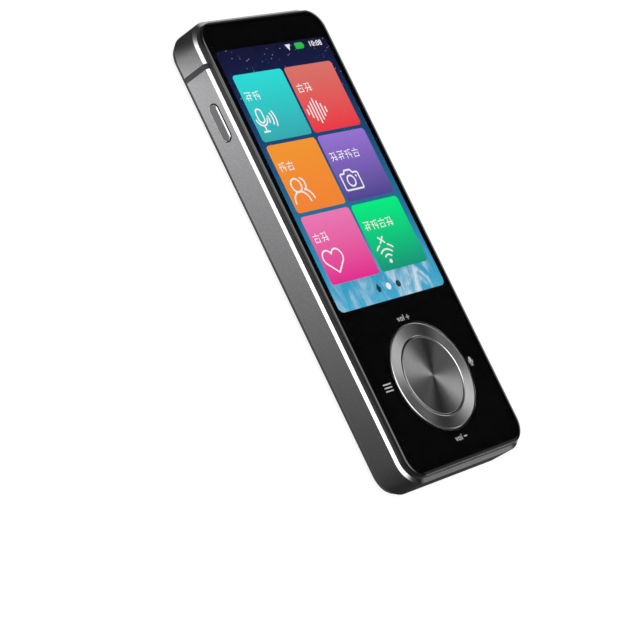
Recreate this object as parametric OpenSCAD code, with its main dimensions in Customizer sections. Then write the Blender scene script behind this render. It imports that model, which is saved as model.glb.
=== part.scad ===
// Handheld translator: a slim metal bar with a touch screen, a tipping key ring round a centre
// key, a side key, and a camera, light, microphone and speaker in its back.
// It lies on its back: +X to the right of the screen, +Y towards the camera end, +Z out of the screen.
// The origin is the middle of the back face.

/* [Body] */
// Width over the side walls
body_w = 46; // [45:0.5:56]
// Length over the end walls
body_l = 114.5; // [112:0.5:140]
// Height of the metal frame, from the back to its rim
frame_h = 8.8; // [8.6:0.1:11]
// Radius of the upright corners
corner_r = 6.2; // [5.4:0.1:8]
// Thickness of the side and end walls
side_wall = 1.3; // [1.1:0.1:1.5]
// Thickness of the back wall
back_wall = 1.1; // [0.9:0.1:1.3]
// Width of the polished chamfer round the front rim
front_chamfer = 0.95; // [0.5:0.05:1.05]
// Height of the front chamfer
front_chamfer_h = 0.35; // [0.2:0.05:0.8]
// Width of the polished chamfer round the back
back_chamfer = 0.75; // [0.4:0.05:0.9]
// Height of the back chamfer
back_chamfer_h = 1.4; // [0.8:0.1:1.8]
// Half width of the flat middle of the back
crown_flat = 14; // [10:0.5:16]
// Rise of the crowned back up to its chamfer
crown_rise = 0.6; // [0.2:0.05:0.8]

/* [Antenna band] */
// Distance from the top end to the middle of the band
band_from_top = 10.75; // [10:0.25:14]
// Width of the band
band_w = 1.35; // [0.8:0.05:2]

/* [Glass and bezel] */
// Height of the bezel wall above the metal rim
bezel_rise = 1; // [0.8:0.1:1.6]
// Gap between the front chamfer and the bezel wall
bezel_gap = 0.1; // [0.05:0.05:0.2]
// Thickness of the cover glass
glass_t = 0.8; // [0.7:0.05:1.2]
// Radius of the rolled edge of the glass
glass_roll = 0.75; // [0.3:0.05:0.75]
// Step between the bezel wall and the edge of the glass
glass_step = 0.1; // [0.05:0.05:0.3]
// Thickness of the printed film under the glass
film_t = 0.1; // [0.05:0.01:0.15]
// Thickness of the bezel's deck round the keys
deck_t = 0.5; // [0.4:0.05:0.7]

/* [Display] */
// Width of the lit area
screen_w = 39.9; // [36:0.1:39.9]
// Length of the lit area
screen_l = 65.5; // [60:0.5:66]
// Distance from the top end to the lit area
screen_from_top = 8.2; // [8:0.1:12]
// Border of the panel at its sides and its upper end
panel_border = 0.75; // [0.5:0.05:0.8]
// Border of the panel at its lower end, which holds its driver
panel_foot = 3.2; // [2:0.1:3.5]
// Thickness of the panel
panel_t = 0.9; // [0.6:0.1:1.1]
// Thickness of the backlight
backlight_t = 1; // [0.7:0.1:1.2]
// Thickness of the frame plate under the display
plate_t = 0.9; // [0.8:0.05:1.1]

/* [Keys] */
// Distance from the bottom end to the middle of the key ring
ring_from_bottom = 21.6; // [19:0.1:22]
// Outer radius of the key ring
ring_r = 12.95; // [12.6:0.05:13.5]
// Inner radius of the key ring
ring_hole_r = 9.65; // [9.5:0.05:9.7]
// Thickness of the key ring
ring_t = 0.95; // [0.8:0.05:1.2]
// Height of the key ring above the glass
ring_proud = 0.05; // [0:0.05:0.4]
// Gap round the key ring, in the glass
ring_gap = 0.27; // [0.2:0.01:0.4]
// Gap between the key ring and the centre key
key_gap = 0.3; // [0.2:0.05:0.4]
// Width of the bright chamfers of the key ring
ring_chamfer = 0.3; // [0.1:0.05:0.4]
// Tip of the key ring each way, in degrees
ring_tip = 1.5; // [0.5:0.1:1.8]
// Travel of the centre key
key_travel = 0.35; // [0.2:0.05:0.4]
// Distance from the top end to the middle of the side key
side_key_from_top = 23.35; // [22:0.1:30]
// Height of the middle of the side key above the back
side_key_z = 5.6; // [5:0.1:6]
// Length of the side key
side_key_l = 9.1; // [7:0.1:10]
// Width of the side key
side_key_w = 2.5; // [1.8:0.1:2.7]
// Height of the side key above the wall
side_key_proud = 0.4; // [0.3:0.05:0.8]
// Gap round the side key
side_key_gap = 0.2; // [0.15:0.05:0.3]
// Travel of the side key
side_key_travel = 0.3; // [0.1:0.05:0.3]

/* [Back] */
// Outer radius of the band's ring round the camera
camera_boss_r = 4.13; // [3.9:0.05:4.6]
// Radius of the camera window
camera_window_r = 3.4; // [3.2:0.05:3.6]
// Distance from the camera to the light
flash_offset = 8.5; // [8:0.1:9.5]
// Outer radius of the band's ring round the light
flash_boss_r = 2.8; // [2.5:0.05:3]
// Radius of the light's window
flash_window_r = 2.05; // [1.9:0.05:2.2]
// Distance from the camera to the microphone
mic_offset = 13.7; // [13.4:0.1:15]
// Radius of the microphone hole
mic_hole_r = 0.4; // [0.3:0.05:0.5]
// Outer radius of the band's ring round the microphone
mic_boss_r = 1.15; // [0.9:0.05:1.3]
// Number of speaker holes in a row
speaker_columns = 14; // [6:1:14]
// Number of rows of speaker holes
speaker_rows = 4; // [2:1:4]
// Distance between speaker holes
speaker_pitch = 1.9; // [1.4:0.1:2]
// Radius of a speaker hole
speaker_hole_r = 0.4; // [0.3:0.05:0.5]
// Distance from the bottom end to the middle of the speaker holes
speaker_from_bottom = 16.2; // [15:0.1:20]

/* [Inside] */
// Width of the battery
battery_w = 34; // [28:0.5:34.5]
// Length of the battery
battery_l = 50; // [40:0.5:51]
// Thickness of the battery
battery_t = 4; // [3:0.1:4.2]
// Thickness of the battery's tape
tape_t = 0.2; // [0.1:0.05:0.3]
// Width of the speaker box
speaker_w = 29; // [28:0.5:32]
// Length of the speaker box
speaker_l = 20; // [16:0.5:21]
// Height of the speaker box
speaker_h = 3.8; // [3:0.1:4]
// Distance from the top end to the lower edge of the main board
board_from_top = 29.7; // [28:0.1:31]
// Width of the main board below the band
board_w = 34.4; // [33:0.1:36]
// Thickness of the main board
board_t = 0.8; // [0.6:0.1:1]
// Room between the back wall and the main board
board_lift = 1.8; // [1.6:0.1:2]
// Width of the camera module
camera_w = 8; // [7:0.1:8.2]
// Height of the camera module's base
camera_h = 3.9; // [3:0.1:4.2]
// Distance from the middle of the device to the charging port
port_offset = 11; // [10:0.1:11.2]
// Width of the charging port's shell
port_w = 8.94; // [8.8:0.01:9]
// Height of the charging port's shell
port_h = 3.1; // [3:0.01:3.16]
// Depth of the charging port's shell
port_l = 6.8; // [6:0.1:7]
// Gap round the charging port's shell
port_gap = 0.15; // [0.1:0.05:0.2]

/* [Fasteners] */
// Radius of the screws' shafts
screw_r = 0.8; // [0.6:0.05:0.9]
// Radius of the screws' heads
screw_head_r = 1.4; // [1.2:0.05:1.5]
// Height of the screws' heads
screw_head_h = 0.45; // [0.3:0.05:0.5]
// Length of the frame screws' shafts
screw_l = 3.5; // [2.5:0.1:3.8]
// Radius of the screw posts
post_r = 1.9; // [1.7:0.05:2]

/* [Hidden] */
$fn = 64;

// A cut runs this far past a face
past = 1;

// Ends of the body and its cavity
y_top = body_l / 2;
y_bottom = -body_l / 2;
cavity_w = body_w - 2 * side_wall;
cavity_l = body_l - 2 * side_wall;
cavity_r = corner_r - side_wall;

// Heights, from the back up
rim_z = frame_h;
bezel_z = rim_z + bezel_rise;
glass_z = bezel_z + glass_t;
film_z = bezel_z - film_t;
panel_z = film_z - panel_t;
plate_z = panel_z - backlight_t;
plate_under_z = plate_z - plate_t;
deck_under_z = film_z - deck_t;

// Bezel, glass and film
bezel_inset = front_chamfer + bezel_gap;
bezel_w = body_w - 2 * bezel_inset;
bezel_l = body_l - 2 * bezel_inset;
bezel_r = corner_r - bezel_inset;
skirt_gap = 0.1;
bezel_wall = 0.8;
film_lip = 0.5;
glass_w = bezel_w - 2 * glass_step;
glass_l = bezel_l - 2 * glass_step;
glass_r = bezel_r - glass_step;
window_r = 0.6;

// Display, from the top end down
screen_top_y = y_top - screen_from_top;
screen_y = screen_top_y - screen_l / 2;
panel_w = screen_w + 2 * panel_border;
panel_l = screen_l + panel_border + panel_foot;
panel_y = screen_top_y + panel_border - panel_l / 2;
panel_foot_y = panel_y - panel_l / 2;
display_gap = 0.12;
backlight_inset = 0.2;

// Key ring, gimbal web and centre key
ring_y = y_bottom + ring_from_bottom;
ring_z = glass_z + ring_proud;
ring_under_z = ring_z - ring_t;
ring_hole = ring_r + ring_gap;
pivot_drop = 1;
pivot_z = ring_under_z - pivot_drop;
pin_r = 0.25;
pin_gap = 0.05;
web_in_r = ring_hole_r + 1.2;
web_w = 0.45;
web_t = 0.5;
lug_in = ring_hole_r + 0.15;
lug_t = 0.9;
lug_w = 1.8;
lug_cover = 0.45;
nib_r = 0.45;
nib_at = web_in_r + web_w + 0.25 + nib_r;
nib_reach = nib_at * sin(ring_tip) + 0.05;
button_r = ring_hole_r - key_gap;
button_t = 0.95;
button_post_r = 1.5;
peg_r = 0.6;
peg_at = 5.5;
guide_gap = 0.05;

// Key base, board and cup under the ring
key_deck_z = pivot_z - 0.9;
key_deck_t = 0.4;
collar_h = 0.8;
collar_wall = 1.05;
dome_h = 0.2;
dome_room = 0.2;
key_board_t = 0.8;
dome_z = key_deck_z - key_deck_t - dome_room;
key_board_z = dome_z - dome_h;
cup_z = key_board_z - key_board_t;
cup_floor_t = 0.6;
base_wall = 0.8;
base_in_r = nib_at + 1.4;
base_r = base_in_r + base_wall;
key_board_r = base_in_r - 0.2;
cup_gap = 0.2;
cup_in_r = base_r + cup_gap;
cup_wall = 0.6;
cup_r = cup_in_r + cup_wall;
cable_slot_l = 4;

// Side key
side_key_y = y_top - side_key_from_top;
wall_x = -body_w / 2;
inner_x = wall_x + side_wall;
flange_gap = 0.2;
flange_t = 0.6;
flange_over = 0.6;
flange_x = inner_x + flange_gap;
side_nib_l = 0.4;
side_nib_r = 0.6;
side_nib_x = flange_x + flange_t + side_nib_l;
switch_x = side_nib_x + side_key_travel + 0.05;
switch_t = 1.15;
switch_l = 4;
switch_h = 2.2;
flex_t = 0.15;
bracket_x = switch_x + switch_t + flex_t;
bracket_t = 0.5;
bracket_l = 6;

// Antenna band, camera, light and microphone
band_y = y_top - band_from_top;
window_depth = 0.6;
window_sink = 0.03;
window_fit = 0.03;
camera_glass_t = 0.4;
shroud_hole_r = 1.5;
barrel_r = 2.8;
barrel_hole_r = barrel_r + 0.15;
flash_x = flash_offset;
flash_hole_r = flash_window_r - 0.5;
mic_x = mic_offset;

// Main board, from the top end down
board_under_z = back_wall + board_lift;
board_z = board_under_z + board_t;
board_low_y = y_top - board_from_top;
board_wing_step = 2.5;
board_wing_y = band_y + board_wing_step;
board_inset = 0.5;
camera_base_z = board_under_z - 0.95;
camera_slot = camera_w + 0.6;
connector_y = board_low_y + 2;
connector_l = 2;
cable_z = cup_z + 0.1;
column_y = connector_y + connector_l / 2 + 1.4;

// Speaker and battery
speaker_y = y_bottom + speaker_from_bottom;
speaker_window_w = 27;
speaker_window_l = 9;
speaker_side = 1.2;
speaker_skin = 0.6;
chamber_low = back_wall + speaker_skin;
chamber_high = back_wall + speaker_h - speaker_skin;
mesh_t = 0.15;
mesh_gap = 0.1;
battery_gap = 1.2;
battery_low_y = speaker_y + speaker_l / 2 + battery_gap;
battery_y = battery_low_y + battery_l / 2;
battery_z = back_wall + tape_t;
battery_top_y = battery_low_y + battery_l;
circuit_l = 3;

// Charging port
port_x = -port_offset;
port_z = board_z + port_h / 2;
port_mouth_y = y_top - 0.25;
port_shell_t = 0.25;

// Screw posts
post_side_gap = 2.3;
post_corner_gap = 3.7;
post_end_gap = 3.65;
post_ring_step = 11.6;
post_key_gap = 2.9;
post_side_x = cavity_w / 2 - post_side_gap;
post_corner_x = cavity_w / 2 - post_corner_gap;
post_corner_y = cavity_l / 2 - post_end_gap;
post_low_y = ring_y + post_ring_step;
post_mid_y = side_key_y - side_key_l / 2 - flange_over - post_r - post_key_gap;
post_neck_r = 1.3;
board_post_in = 2.6;
board_post_x = board_w / 2 - board_post_in;
board_post_y = board_low_y + board_post_in;
board_post_r = 1.7;
pilot_gap = 0.02;
screw_gap = 0.15;

// Outline of a rectangle with round corners
module round_rect(w, l, r) {
    square([w - 2 * r, l], center = true);
    square([w, l - 2 * r], center = true);
    for (x = [-1, 1], y = [-1, 1])
        translate([x * (w / 2 - r), y * (l / 2 - r)])
            circle(r);
}

// Flat plate with round corners, from z0 up to z1
module round_plate(w, l, r, z0, z1) {
    translate([0, 0, z0])
        linear_extrude(z1 - z0)
            round_rect(w, l, r);
}

// The edge profile given as a child, drawn at both sides of a middle that is 2 * half wide
module mirrored_section(half, z0, z1) {
    translate([half, 0]) children();
    mirror([1, 0]) translate([half, 0]) children();
    translate([-half, z0]) square([2 * half, z1 - z0]);
}

// Block whose edge follows the profile given as a child, measured from the corners' axes
module edged_block(w, l, r, z0, z1) {
    rotate([90, 0, 0])
        linear_extrude(l - 2 * r, center = true)
            mirrored_section(w / 2 - r, z0, z1) children();
    rotate([90, 0, 90])
        linear_extrude(w - 2 * r, center = true)
            mirrored_section(l / 2 - r, z0, z1) children();
    for (x = [0, 1], y = [0, 1])
        mirror([x, 0, 0]) mirror([0, y, 0])
            translate([w / 2 - r, l / 2 - r, 0])
                rotate_extrude(angle = 90) children();
}

// Box given by its middle in x and y, its size there and its lower and upper height
module slab(x, y, w, l, z0, z1) {
    translate([x - w / 2, y - l / 2, z0])
        cube([w, l, z1 - z0]);
}

// Upright tube or, with no hole, a disc
module tube(outer, hole, z0, z1) {
    translate([0, 0, z0])
        difference() {
            cylinder(h = z1 - z0, r = outer);
            if (hole > 0)
                translate([0, 0, -past]) cylinder(h = z1 - z0 + 2 * past, r = hole);
        }
}

// Long key shape that lies along Y, with its flat faces towards X
module side_stadium(l, w, x0, x1) {
    translate([x0, 0, 0])
        rotate([90, 0, 90])
            linear_extrude(x1 - x0) {
                square([l - w, w], center = true);
                for (y = [-1, 1])
                    translate([y * (l - w) / 2, 0]) circle(w / 2);
            }
}

// Flat oval that looks along Y, from y0 to y1
module port_oval(w, h, y0, y1) {
    translate([0, y1, 0])
        rotate([90, 0, 0])
            linear_extrude(y1 - y0) {
                square([w - h, h], center = true);
                for (x = [-1, 1])
                    translate([x * (w - h) / 2, 0]) circle(h / 2);
            }
}

// Part of the back that lies below the crown, at both long edges
module crown_cut() {
    reach = body_w / 2 - back_chamfer - crown_flat;
    crown_r = (reach * reach + crown_rise * crown_rise) / (2 * crown_rise);
    for (side = [0, 1])
        mirror([side, 0, 0])
            rotate([90, 0, 0])
                linear_extrude(body_l + 2 * past, center = true)
                    difference() {
                        translate([crown_flat, -past])
                            square([body_w / 2 - crown_flat + past, 2 * past]);
                        translate([crown_flat, crown_r]) circle(crown_r, $fn = 360);
                    }
}

// Metal form of the back and sides, hollow, before it is cut into its three pieces
module shell() {
    slope = back_chamfer / back_chamfer_h;
    foot = back_chamfer + crown_rise * slope;
    difference() {
        edged_block(body_w, body_l, corner_r, 0, rim_z)
            polygon([
                [0, 0],
                [corner_r - foot, 0],
                [corner_r, crown_rise + back_chamfer_h],
                [corner_r, rim_z - front_chamfer_h],
                [corner_r - front_chamfer, rim_z],
                [0, rim_z]
            ]);
        crown_cut();
        round_plate(cavity_w, cavity_l, cavity_r, back_wall, rim_z + past);
    }
}

// Slice of the body between two places along Y
module body_slice(y0, y1) {
    slab(0, (y0 + y1) / 2, body_w + 2 * past, y1 - y0, -past, rim_z + past);
}

// Round places in the back wall that the band's plastic fills
module band_bosses() {
    translate([0, band_y, 0]) {
        translate([0, 0, -past]) cylinder(h = back_wall + past, r = camera_boss_r);
        translate([flash_x, 0, -past]) cylinder(h = back_wall + past, r = flash_boss_r);
        translate([mic_x, 0, -past]) cylinder(h = back_wall + past, r = mic_boss_r);
    }
}

// Screw post with a pilot bore from its top
module post(r, z1, bore_depth) {
    difference() {
        translate([0, 0, back_wall - 0.1]) cylinder(h = z1 - back_wall + 0.1, r = r);
        translate([0, 0, z1 - bore_depth]) cylinder(h = bore_depth + past, r = screw_r + pilot_gap);
    }
}

// Screw that stands on its shaft, with the seat of its head at height z
module screw(shaft_l, z) {
    translate([0, 0, z - shaft_l]) cylinder(h = shaft_l, r = screw_r);
    difference() {
        translate([0, 0, z]) cylinder(h = screw_head_h, r = screw_head_r);
        translate([0, 0, z + screw_head_h / 2]) cylinder(h = past, r = screw_r / 2, $fn = 6);
    }
}

// Posts in the housing that hold the frame plate
function housing_posts() = [
    for (x = [-1, 1]) each [
        [x * post_side_x, post_low_y],
        [x * post_side_x, post_mid_y],
        [x * post_corner_x, -post_corner_y]
    ]
];

// Posts in the top cap, which the main board rests on
function cap_posts() = [for (x = [-1, 1]) [x * post_corner_x, post_corner_y]];

function board_posts() = [for (x = [-1, 1]) [x * board_post_x, board_post_y]];

module at(places) {
    for (p = places)
        translate([p[0], p[1], 0]) children();
}

module main_housing() {
    color("dimgray") {
        difference() {
            intersection() {
                shell();
                body_slice(y_bottom - past, band_y - band_w / 2);
            }
            band_bosses();
            translate([0, side_key_y, side_key_z])
                side_stadium(side_key_l + 2 * side_key_gap, side_key_w + 2 * side_key_gap,
                             wall_x - past, inner_x + past);
            for (i = [0 : speaker_columns - 1], j = [0 : speaker_rows - 1])
                translate([
                    (i - (speaker_columns - 1) / 2) * speaker_pitch,
                    speaker_y + (j - (speaker_rows - 1) / 2) * speaker_pitch,
                    -past
                ])
                    cylinder(h = back_wall + 2 * past, r = speaker_hole_r);
        }
        at(housing_posts()) post(post_r, plate_under_z, screw_l + 0.5);
        at(board_posts()) post(board_post_r, board_under_z, board_lift - 0.2);
    }
}

module top_cap() {
    color("dimgray") {
        difference() {
            intersection() {
                shell();
                body_slice(band_y + band_w / 2, y_top + past);
            }
            band_bosses();
            translate([port_x, 0, port_z])
                port_oval(port_w + 2 * port_gap, port_h + 2 * port_gap,
                          y_top - side_wall - past, y_top + past);
        }
        at(cap_posts()) {
            post(post_neck_r, plate_under_z, screw_l + 0.3);
            tube(post_r, screw_r + pilot_gap, back_wall - 0.1, board_under_z);
        }
    }
}

module antenna_band() {
    color([0.13, 0.13, 0.14])
        difference() {
            intersection() {
                shell();
                union() {
                    body_slice(band_y - band_w / 2, band_y + band_w / 2);
                    band_bosses();
                }
            }
            translate([0, band_y, 0]) {
                tube(camera_window_r + window_fit, 0, -past, window_depth);
                tube(barrel_hole_r, 0, -past, back_wall + past);
                translate([flash_x, 0, 0]) {
                    tube(flash_window_r + window_fit, 0, -past, window_depth);
                    tube(flash_hole_r, 0, -past, back_wall + past);
                }
                translate([mic_x, 0, 0]) tube(mic_hole_r, 0, -past, back_wall + past);
            }
        }
}

module front_bezel() {
    low_cavity_top = panel_foot_y - display_gap - bezel_wall;
    low_cavity_bottom = y_bottom + side_wall + skirt_gap + bezel_wall;
    color([0.12, 0.12, 0.13])
        difference() {
            union() {
                round_plate(bezel_w, bezel_l, bezel_r, rim_z, bezel_z);
                round_plate(cavity_w - 2 * skirt_gap, cavity_l - 2 * skirt_gap,
                            cavity_r - skirt_gap, plate_z, rim_z);
            }
            round_plate(glass_w - 2 * film_lip, glass_l - 2 * film_lip, glass_r - film_lip,
                        film_z, bezel_z + past);
            slab(0, panel_y, panel_w + 2 * display_gap, panel_l + 2 * display_gap,
                 plate_z - past, bezel_z);
            slab(0, (low_cavity_top + low_cavity_bottom) / 2, panel_w + 2 * display_gap,
                 low_cavity_top - low_cavity_bottom, plate_z - past, deck_under_z);
            translate([0, ring_y, 0]) tube(ring_hole, 0, plate_z - past, bezel_z + past);
        }
}

module cover_glass() {
    color([0.02, 0.02, 0.025])
        difference() {
            edged_block(glass_w, glass_l, glass_r, bezel_z, glass_z) {
                translate([0, bezel_z]) square([glass_r - glass_roll, glass_t]);
                translate([0, bezel_z]) square([glass_r, glass_t - glass_roll]);
                intersection() {
                    translate([glass_r - glass_roll, glass_z - glass_roll]) circle(glass_roll);
                    translate([0, glass_z - glass_roll]) square([glass_r, glass_roll]);
                }
            }
            translate([0, ring_y, 0]) tube(ring_hole, 0, bezel_z - past, glass_z + past);
        }
}

module screen_mask() {
    film_gap = 0.05;
    inset = film_lip + film_gap;
    color([0.01, 0.01, 0.012])
        difference() {
            round_plate(glass_w - 2 * inset, glass_l - 2 * inset, glass_r - inset, film_z, bezel_z);
            translate([0, screen_y, 0])
                round_plate(screen_w, screen_l, window_r, film_z - past, bezel_z + past);
            translate([0, ring_y, 0]) tube(ring_hole, 0, film_z - past, bezel_z + past);
        }
}

module display_panel() {
    color([0.1, 0.16, 0.4])
        slab(0, panel_y, panel_w, panel_l, panel_z, film_z);
}

module backlight() {
    color([0.75, 0.75, 0.78])
        slab(0, panel_y, panel_w - 2 * backlight_inset, panel_l - 2 * backlight_inset,
             plate_z, panel_z);
}

// Flat cable from one place along Y to another, with the block that joins it to the main board
module cable(x, y0, y1, w) {
    slab(x, (y0 + y1) / 2, w, y1 - y0, cable_z, cable_z + flex_t);
    slab(x, connector_y, w, connector_l, board_z, cable_z);
}

display_flex_x = 9;
display_flex_w = 6;
display_flex_y = panel_foot_y + 1.6;
key_flex_w = 6;

module display_flex() {
    color([0.75, 0.45, 0.12]) {
        cable(display_flex_x, display_flex_y, connector_y + connector_l / 2, display_flex_w);
        slab(display_flex_x, display_flex_y, display_flex_w, flex_t, cable_z, plate_z);
    }
}

module key_flex() {
    start_y = ring_y + key_board_r - 1;
    color([0.75, 0.45, 0.12])
        cable(0, start_y, connector_y + connector_l / 2, key_flex_w);
}

module mid_plate() {
    slot_room = 0.4;
    color([0.55, 0.57, 0.6]) {
        difference() {
            union() {
                round_plate(cavity_w - 0.3, cavity_l - 0.3, cavity_r - 0.15, plate_under_z, plate_z);
                translate([0, ring_y, 0]) tube(cup_r, 0, cup_z - cup_floor_t, plate_z);
                slab(bracket_x + bracket_t / 2, side_key_y, bracket_t, bracket_l,
                     side_key_z - switch_h / 2 - 0.3, plate_z);
            }
            translate([0, ring_y, 0]) tube(cup_in_r, 0, cup_z, plate_z + past);
            slab(0, ring_y + cup_r, key_flex_w + slot_room, cable_slot_l,
                 cup_z, cable_z + flex_t + slot_room);
            slab(display_flex_x, display_flex_y, display_flex_w + slot_room, flex_t + 2 * slot_room,
                 plate_under_z - past, plate_z + past);
            slab(wall_x, side_key_y, 2 * (side_nib_x + side_key_travel - wall_x),
                 side_key_l + 2 * flange_over + 2 * slot_room, plate_under_z - past, plate_z + past);
            at(concat(housing_posts(), cap_posts())) {
                tube(screw_r + screw_gap, 0, plate_under_z - past, plate_z + past);
                tube(screw_head_r + screw_gap, 0, plate_z - screw_head_h - 0.05, plate_z + past);
            }
        }
    }
}

module navigation_ring() {
    lug_low = pivot_z - lug_cover;
    color([0.45, 0.45, 0.47])
        translate([0, ring_y, 0]) {
            rotate_extrude()
                polygon([
                    [ring_hole_r, ring_under_z],
                    [ring_r, ring_under_z],
                    [ring_r, ring_z - ring_chamfer],
                    [ring_r - ring_chamfer, ring_z],
                    [ring_hole_r + ring_chamfer, ring_z],
                    [ring_hole_r, ring_z - ring_chamfer]
                ]);
            difference() {
                for (side = [-1, 1])
                    slab(0, side * (lug_in + lug_t / 2), lug_w, lug_t, lug_low, ring_under_z + 0.1);
                translate([0, ring_r, pivot_z])
                    rotate([90, 0, 0]) cylinder(h = 2 * ring_r, r = pin_r + pin_gap);
            }
            for (a = [0 : 90 : 270])
                rotate([0, 0, a]) translate([nib_at, 0, 0])
                    tube(nib_r, 0, dome_z + nib_reach, ring_under_z + 0.1);
        }
}

// Sprung steel ring: it pivots on the key base about X, and the key ring pivots on it about Y
module ring_web() {
    pin_end = lug_in - 0.05;
    pin_l = web_in_r + web_w / 2 - pin_end;
    color([0.7, 0.7, 0.72])
        translate([0, ring_y, 0]) {
            tube(web_in_r + web_w, web_in_r, pivot_z - web_t / 2, pivot_z + web_t / 2);
            for (a = [0 : 90 : 270])
                rotate([0, 0, a]) translate([pin_end, 0, pivot_z])
                    rotate([0, 90, 0]) cylinder(h = pin_l, r = pin_r);
        }
}

module centre_button() {
    under_z = ring_z - button_t;
    bevel = 0.12;
    color([0.3, 0.3, 0.32])
        translate([0, ring_y, 0]) {
            rotate_extrude()
                polygon([
                    [0, under_z],
                    [button_r, under_z],
                    [button_r, ring_z - bevel],
                    [button_r - bevel, ring_z],
                    [0, ring_z]
                ]);
            tube(button_post_r, 0, dome_z + key_travel + 0.05, under_z + 0.1);
            for (side = [-1, 1])
                translate([side * peg_at, 0, 0])
                    tube(peg_r, 0, key_board_z + key_travel + 0.1, under_z + 0.1);
        }
}

module key_base() {
    ear_t = lug_t;
    ear_top = pivot_z + pin_r + pin_gap + 0.2;
    deck_low = key_deck_z - key_deck_t;
    color([0.2, 0.2, 0.22])
        translate([0, ring_y, 0]) {
            difference() {
                union() {
                    tube(base_r, base_in_r, cup_z, deck_under_z);
                    tube(base_in_r + base_wall / 2, 0, deck_low, key_deck_z);
                    tube(button_post_r + collar_wall, 0, deck_low, key_deck_z + collar_h);
                }
                tube(button_post_r + guide_gap, 0, deck_low - past, key_deck_z + 2 * past);
                for (side = [-1, 1])
                    translate([side * peg_at, 0, 0])
                        tube(peg_r + 2 * guide_gap, 0, deck_low - past, key_deck_z + past);
                for (a = [0 : 90 : 270])
                    rotate([0, 0, a]) translate([nib_at, 0, 0])
                        tube(nib_r + 0.4, 0, deck_low - past, key_deck_z + past);
                slab(0, base_r, key_flex_w + 0.4, cable_slot_l, cup_z - past, cable_z + flex_t + 0.2);
            }
            difference() {
                for (side = [-1, 1])
                    slab(side * (lug_in + ear_t / 2), 0, ear_t, lug_w, key_deck_z - 0.1, ear_top);
                translate([-ring_r, 0, pivot_z])
                    rotate([0, 90, 0]) cylinder(h = 2 * ring_r, r = pin_r + pin_gap);
            }
        }
}

module key_domes() {
    outer_dome_r = key_board_r - nib_at - 0.1;
    color([0.8, 0.8, 0.78])
        translate([0, ring_y, 0]) {
            tube(2, 0, key_board_z, dome_z);
            for (a = [0 : 90 : 270])
                rotate([0, 0, a]) translate([nib_at, 0, 0])
                    tube(outer_dome_r, 0, key_board_z, dome_z);
        }
}

module key_board() {
    color([0.05, 0.3, 0.18])
        translate([0, ring_y, 0])
            difference() {
                tube(key_board_r, 0, cup_z, key_board_z);
                slab(0, key_board_r, key_flex_w + 0.4, 2, cup_z - past, key_board_z + past);
            }
}

module side_button() {
    edge = 0.25;
    color([0.42, 0.42, 0.44])
        translate([0, side_key_y, side_key_z]) {
            side_stadium(side_key_l, side_key_w, wall_x - side_key_proud + edge, flange_x + 0.1);
            side_stadium(side_key_l - edge, side_key_w - edge,
                         wall_x - side_key_proud, wall_x - side_key_proud + edge);
            side_stadium(side_key_l + 2 * flange_over, side_key_w + 2 * flange_over,
                         flange_x, flange_x + flange_t);
            translate([flange_x, 0, 0])
                rotate([0, 90, 0]) cylinder(h = flange_t + side_nib_l, r = side_nib_r);
        }
}

module side_switch() {
    color([0.75, 0.75, 0.72])
        translate([switch_x, side_key_y - switch_l / 2, side_key_z - switch_h / 2])
            cube([switch_t, switch_l, switch_h]);
}

module side_switch_flex() {
    low_z = board_z + 0.1;
    strip_over = 0.5;
    strip_x = bracket_x - flex_t;
    tail_w = 2;
    tail_inset = 1.2;
    tail_end = -board_w / 2 + tail_inset;
    plug_l = 1.6;
    plug_over = 0.3;
    plug_t = 0.8;
    color([0.75, 0.45, 0.12]) {
        slab(strip_x + flex_t / 2, side_key_y, flex_t, switch_l + 2 * strip_over,
             low_z, side_key_z + switch_h / 2);
        slab((strip_x + tail_end + plug_l) / 2, side_key_y, tail_end + plug_l - strip_x, tail_w,
             low_z, low_z + flex_t);
        slab(tail_end + plug_l / 2, side_key_y, plug_l, tail_w + 2 * plug_over,
             board_z, board_z + plug_t);
    }
}

module main_board() {
    top_y = y_top - side_wall - board_inset;
    color([0.04, 0.27, 0.2])
        difference() {
            intersection() {
                round_plate(cavity_w - 2 * board_inset, cavity_l - 2 * board_inset,
                            cavity_r - board_inset, board_under_z, board_z);
                union() {
                    slab(0, (board_low_y + top_y) / 2, board_w, top_y - board_low_y,
                         board_under_z - past, board_z + past);
                    slab(0, (board_wing_y + top_y) / 2, body_w, top_y - board_wing_y,
                         board_under_z - past, board_z + past);
                }
            }
            slab(0, band_y, camera_slot, camera_slot, board_under_z - past, board_z + past);
            at(cap_posts()) tube(post_neck_r + screw_gap, 0, board_under_z - past, board_z + past);
            at(board_posts()) tube(screw_r + screw_gap, 0, board_under_z - past, board_z + past);
        }
}

shield_t = 0.2;
shield_h = 1.6;

// Thin metal can over a chip, open towards the board
module shield(x0, x1, y0, y1) {
    slab((x0 + x1) / 2, (y0 + y1) / 2, x1 - x0, y1 - y0, board_z, board_z + shield_h);
}

// Columns of the board beside the camera: the inner edge, the outer edge and the two ends
shield_camera_gap = 0.5;
shield_edge_gap = 1;
shield_port_gap = 0.7;
shield_key_gap = 4.2;
shield_in = camera_slot / 2 + shield_camera_gap;
shield_out = board_w / 2 - shield_edge_gap;
processor_top_y = band_y + camera_w / 2;
radio_top_y = port_mouth_y - port_l - shield_port_gap;
radio_low_y = side_key_y + shield_key_gap;

module processor_shield() {
    color([0.7, 0.71, 0.72])
        difference() {
            shield(shield_in, shield_out, column_y, processor_top_y);
            slab((shield_in + shield_out) / 2, (column_y + processor_top_y) / 2,
                 shield_out - shield_in - 2 * shield_t, processor_top_y - column_y - 2 * shield_t,
                 board_z - past, board_z + shield_h - shield_t);
        }
}

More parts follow.
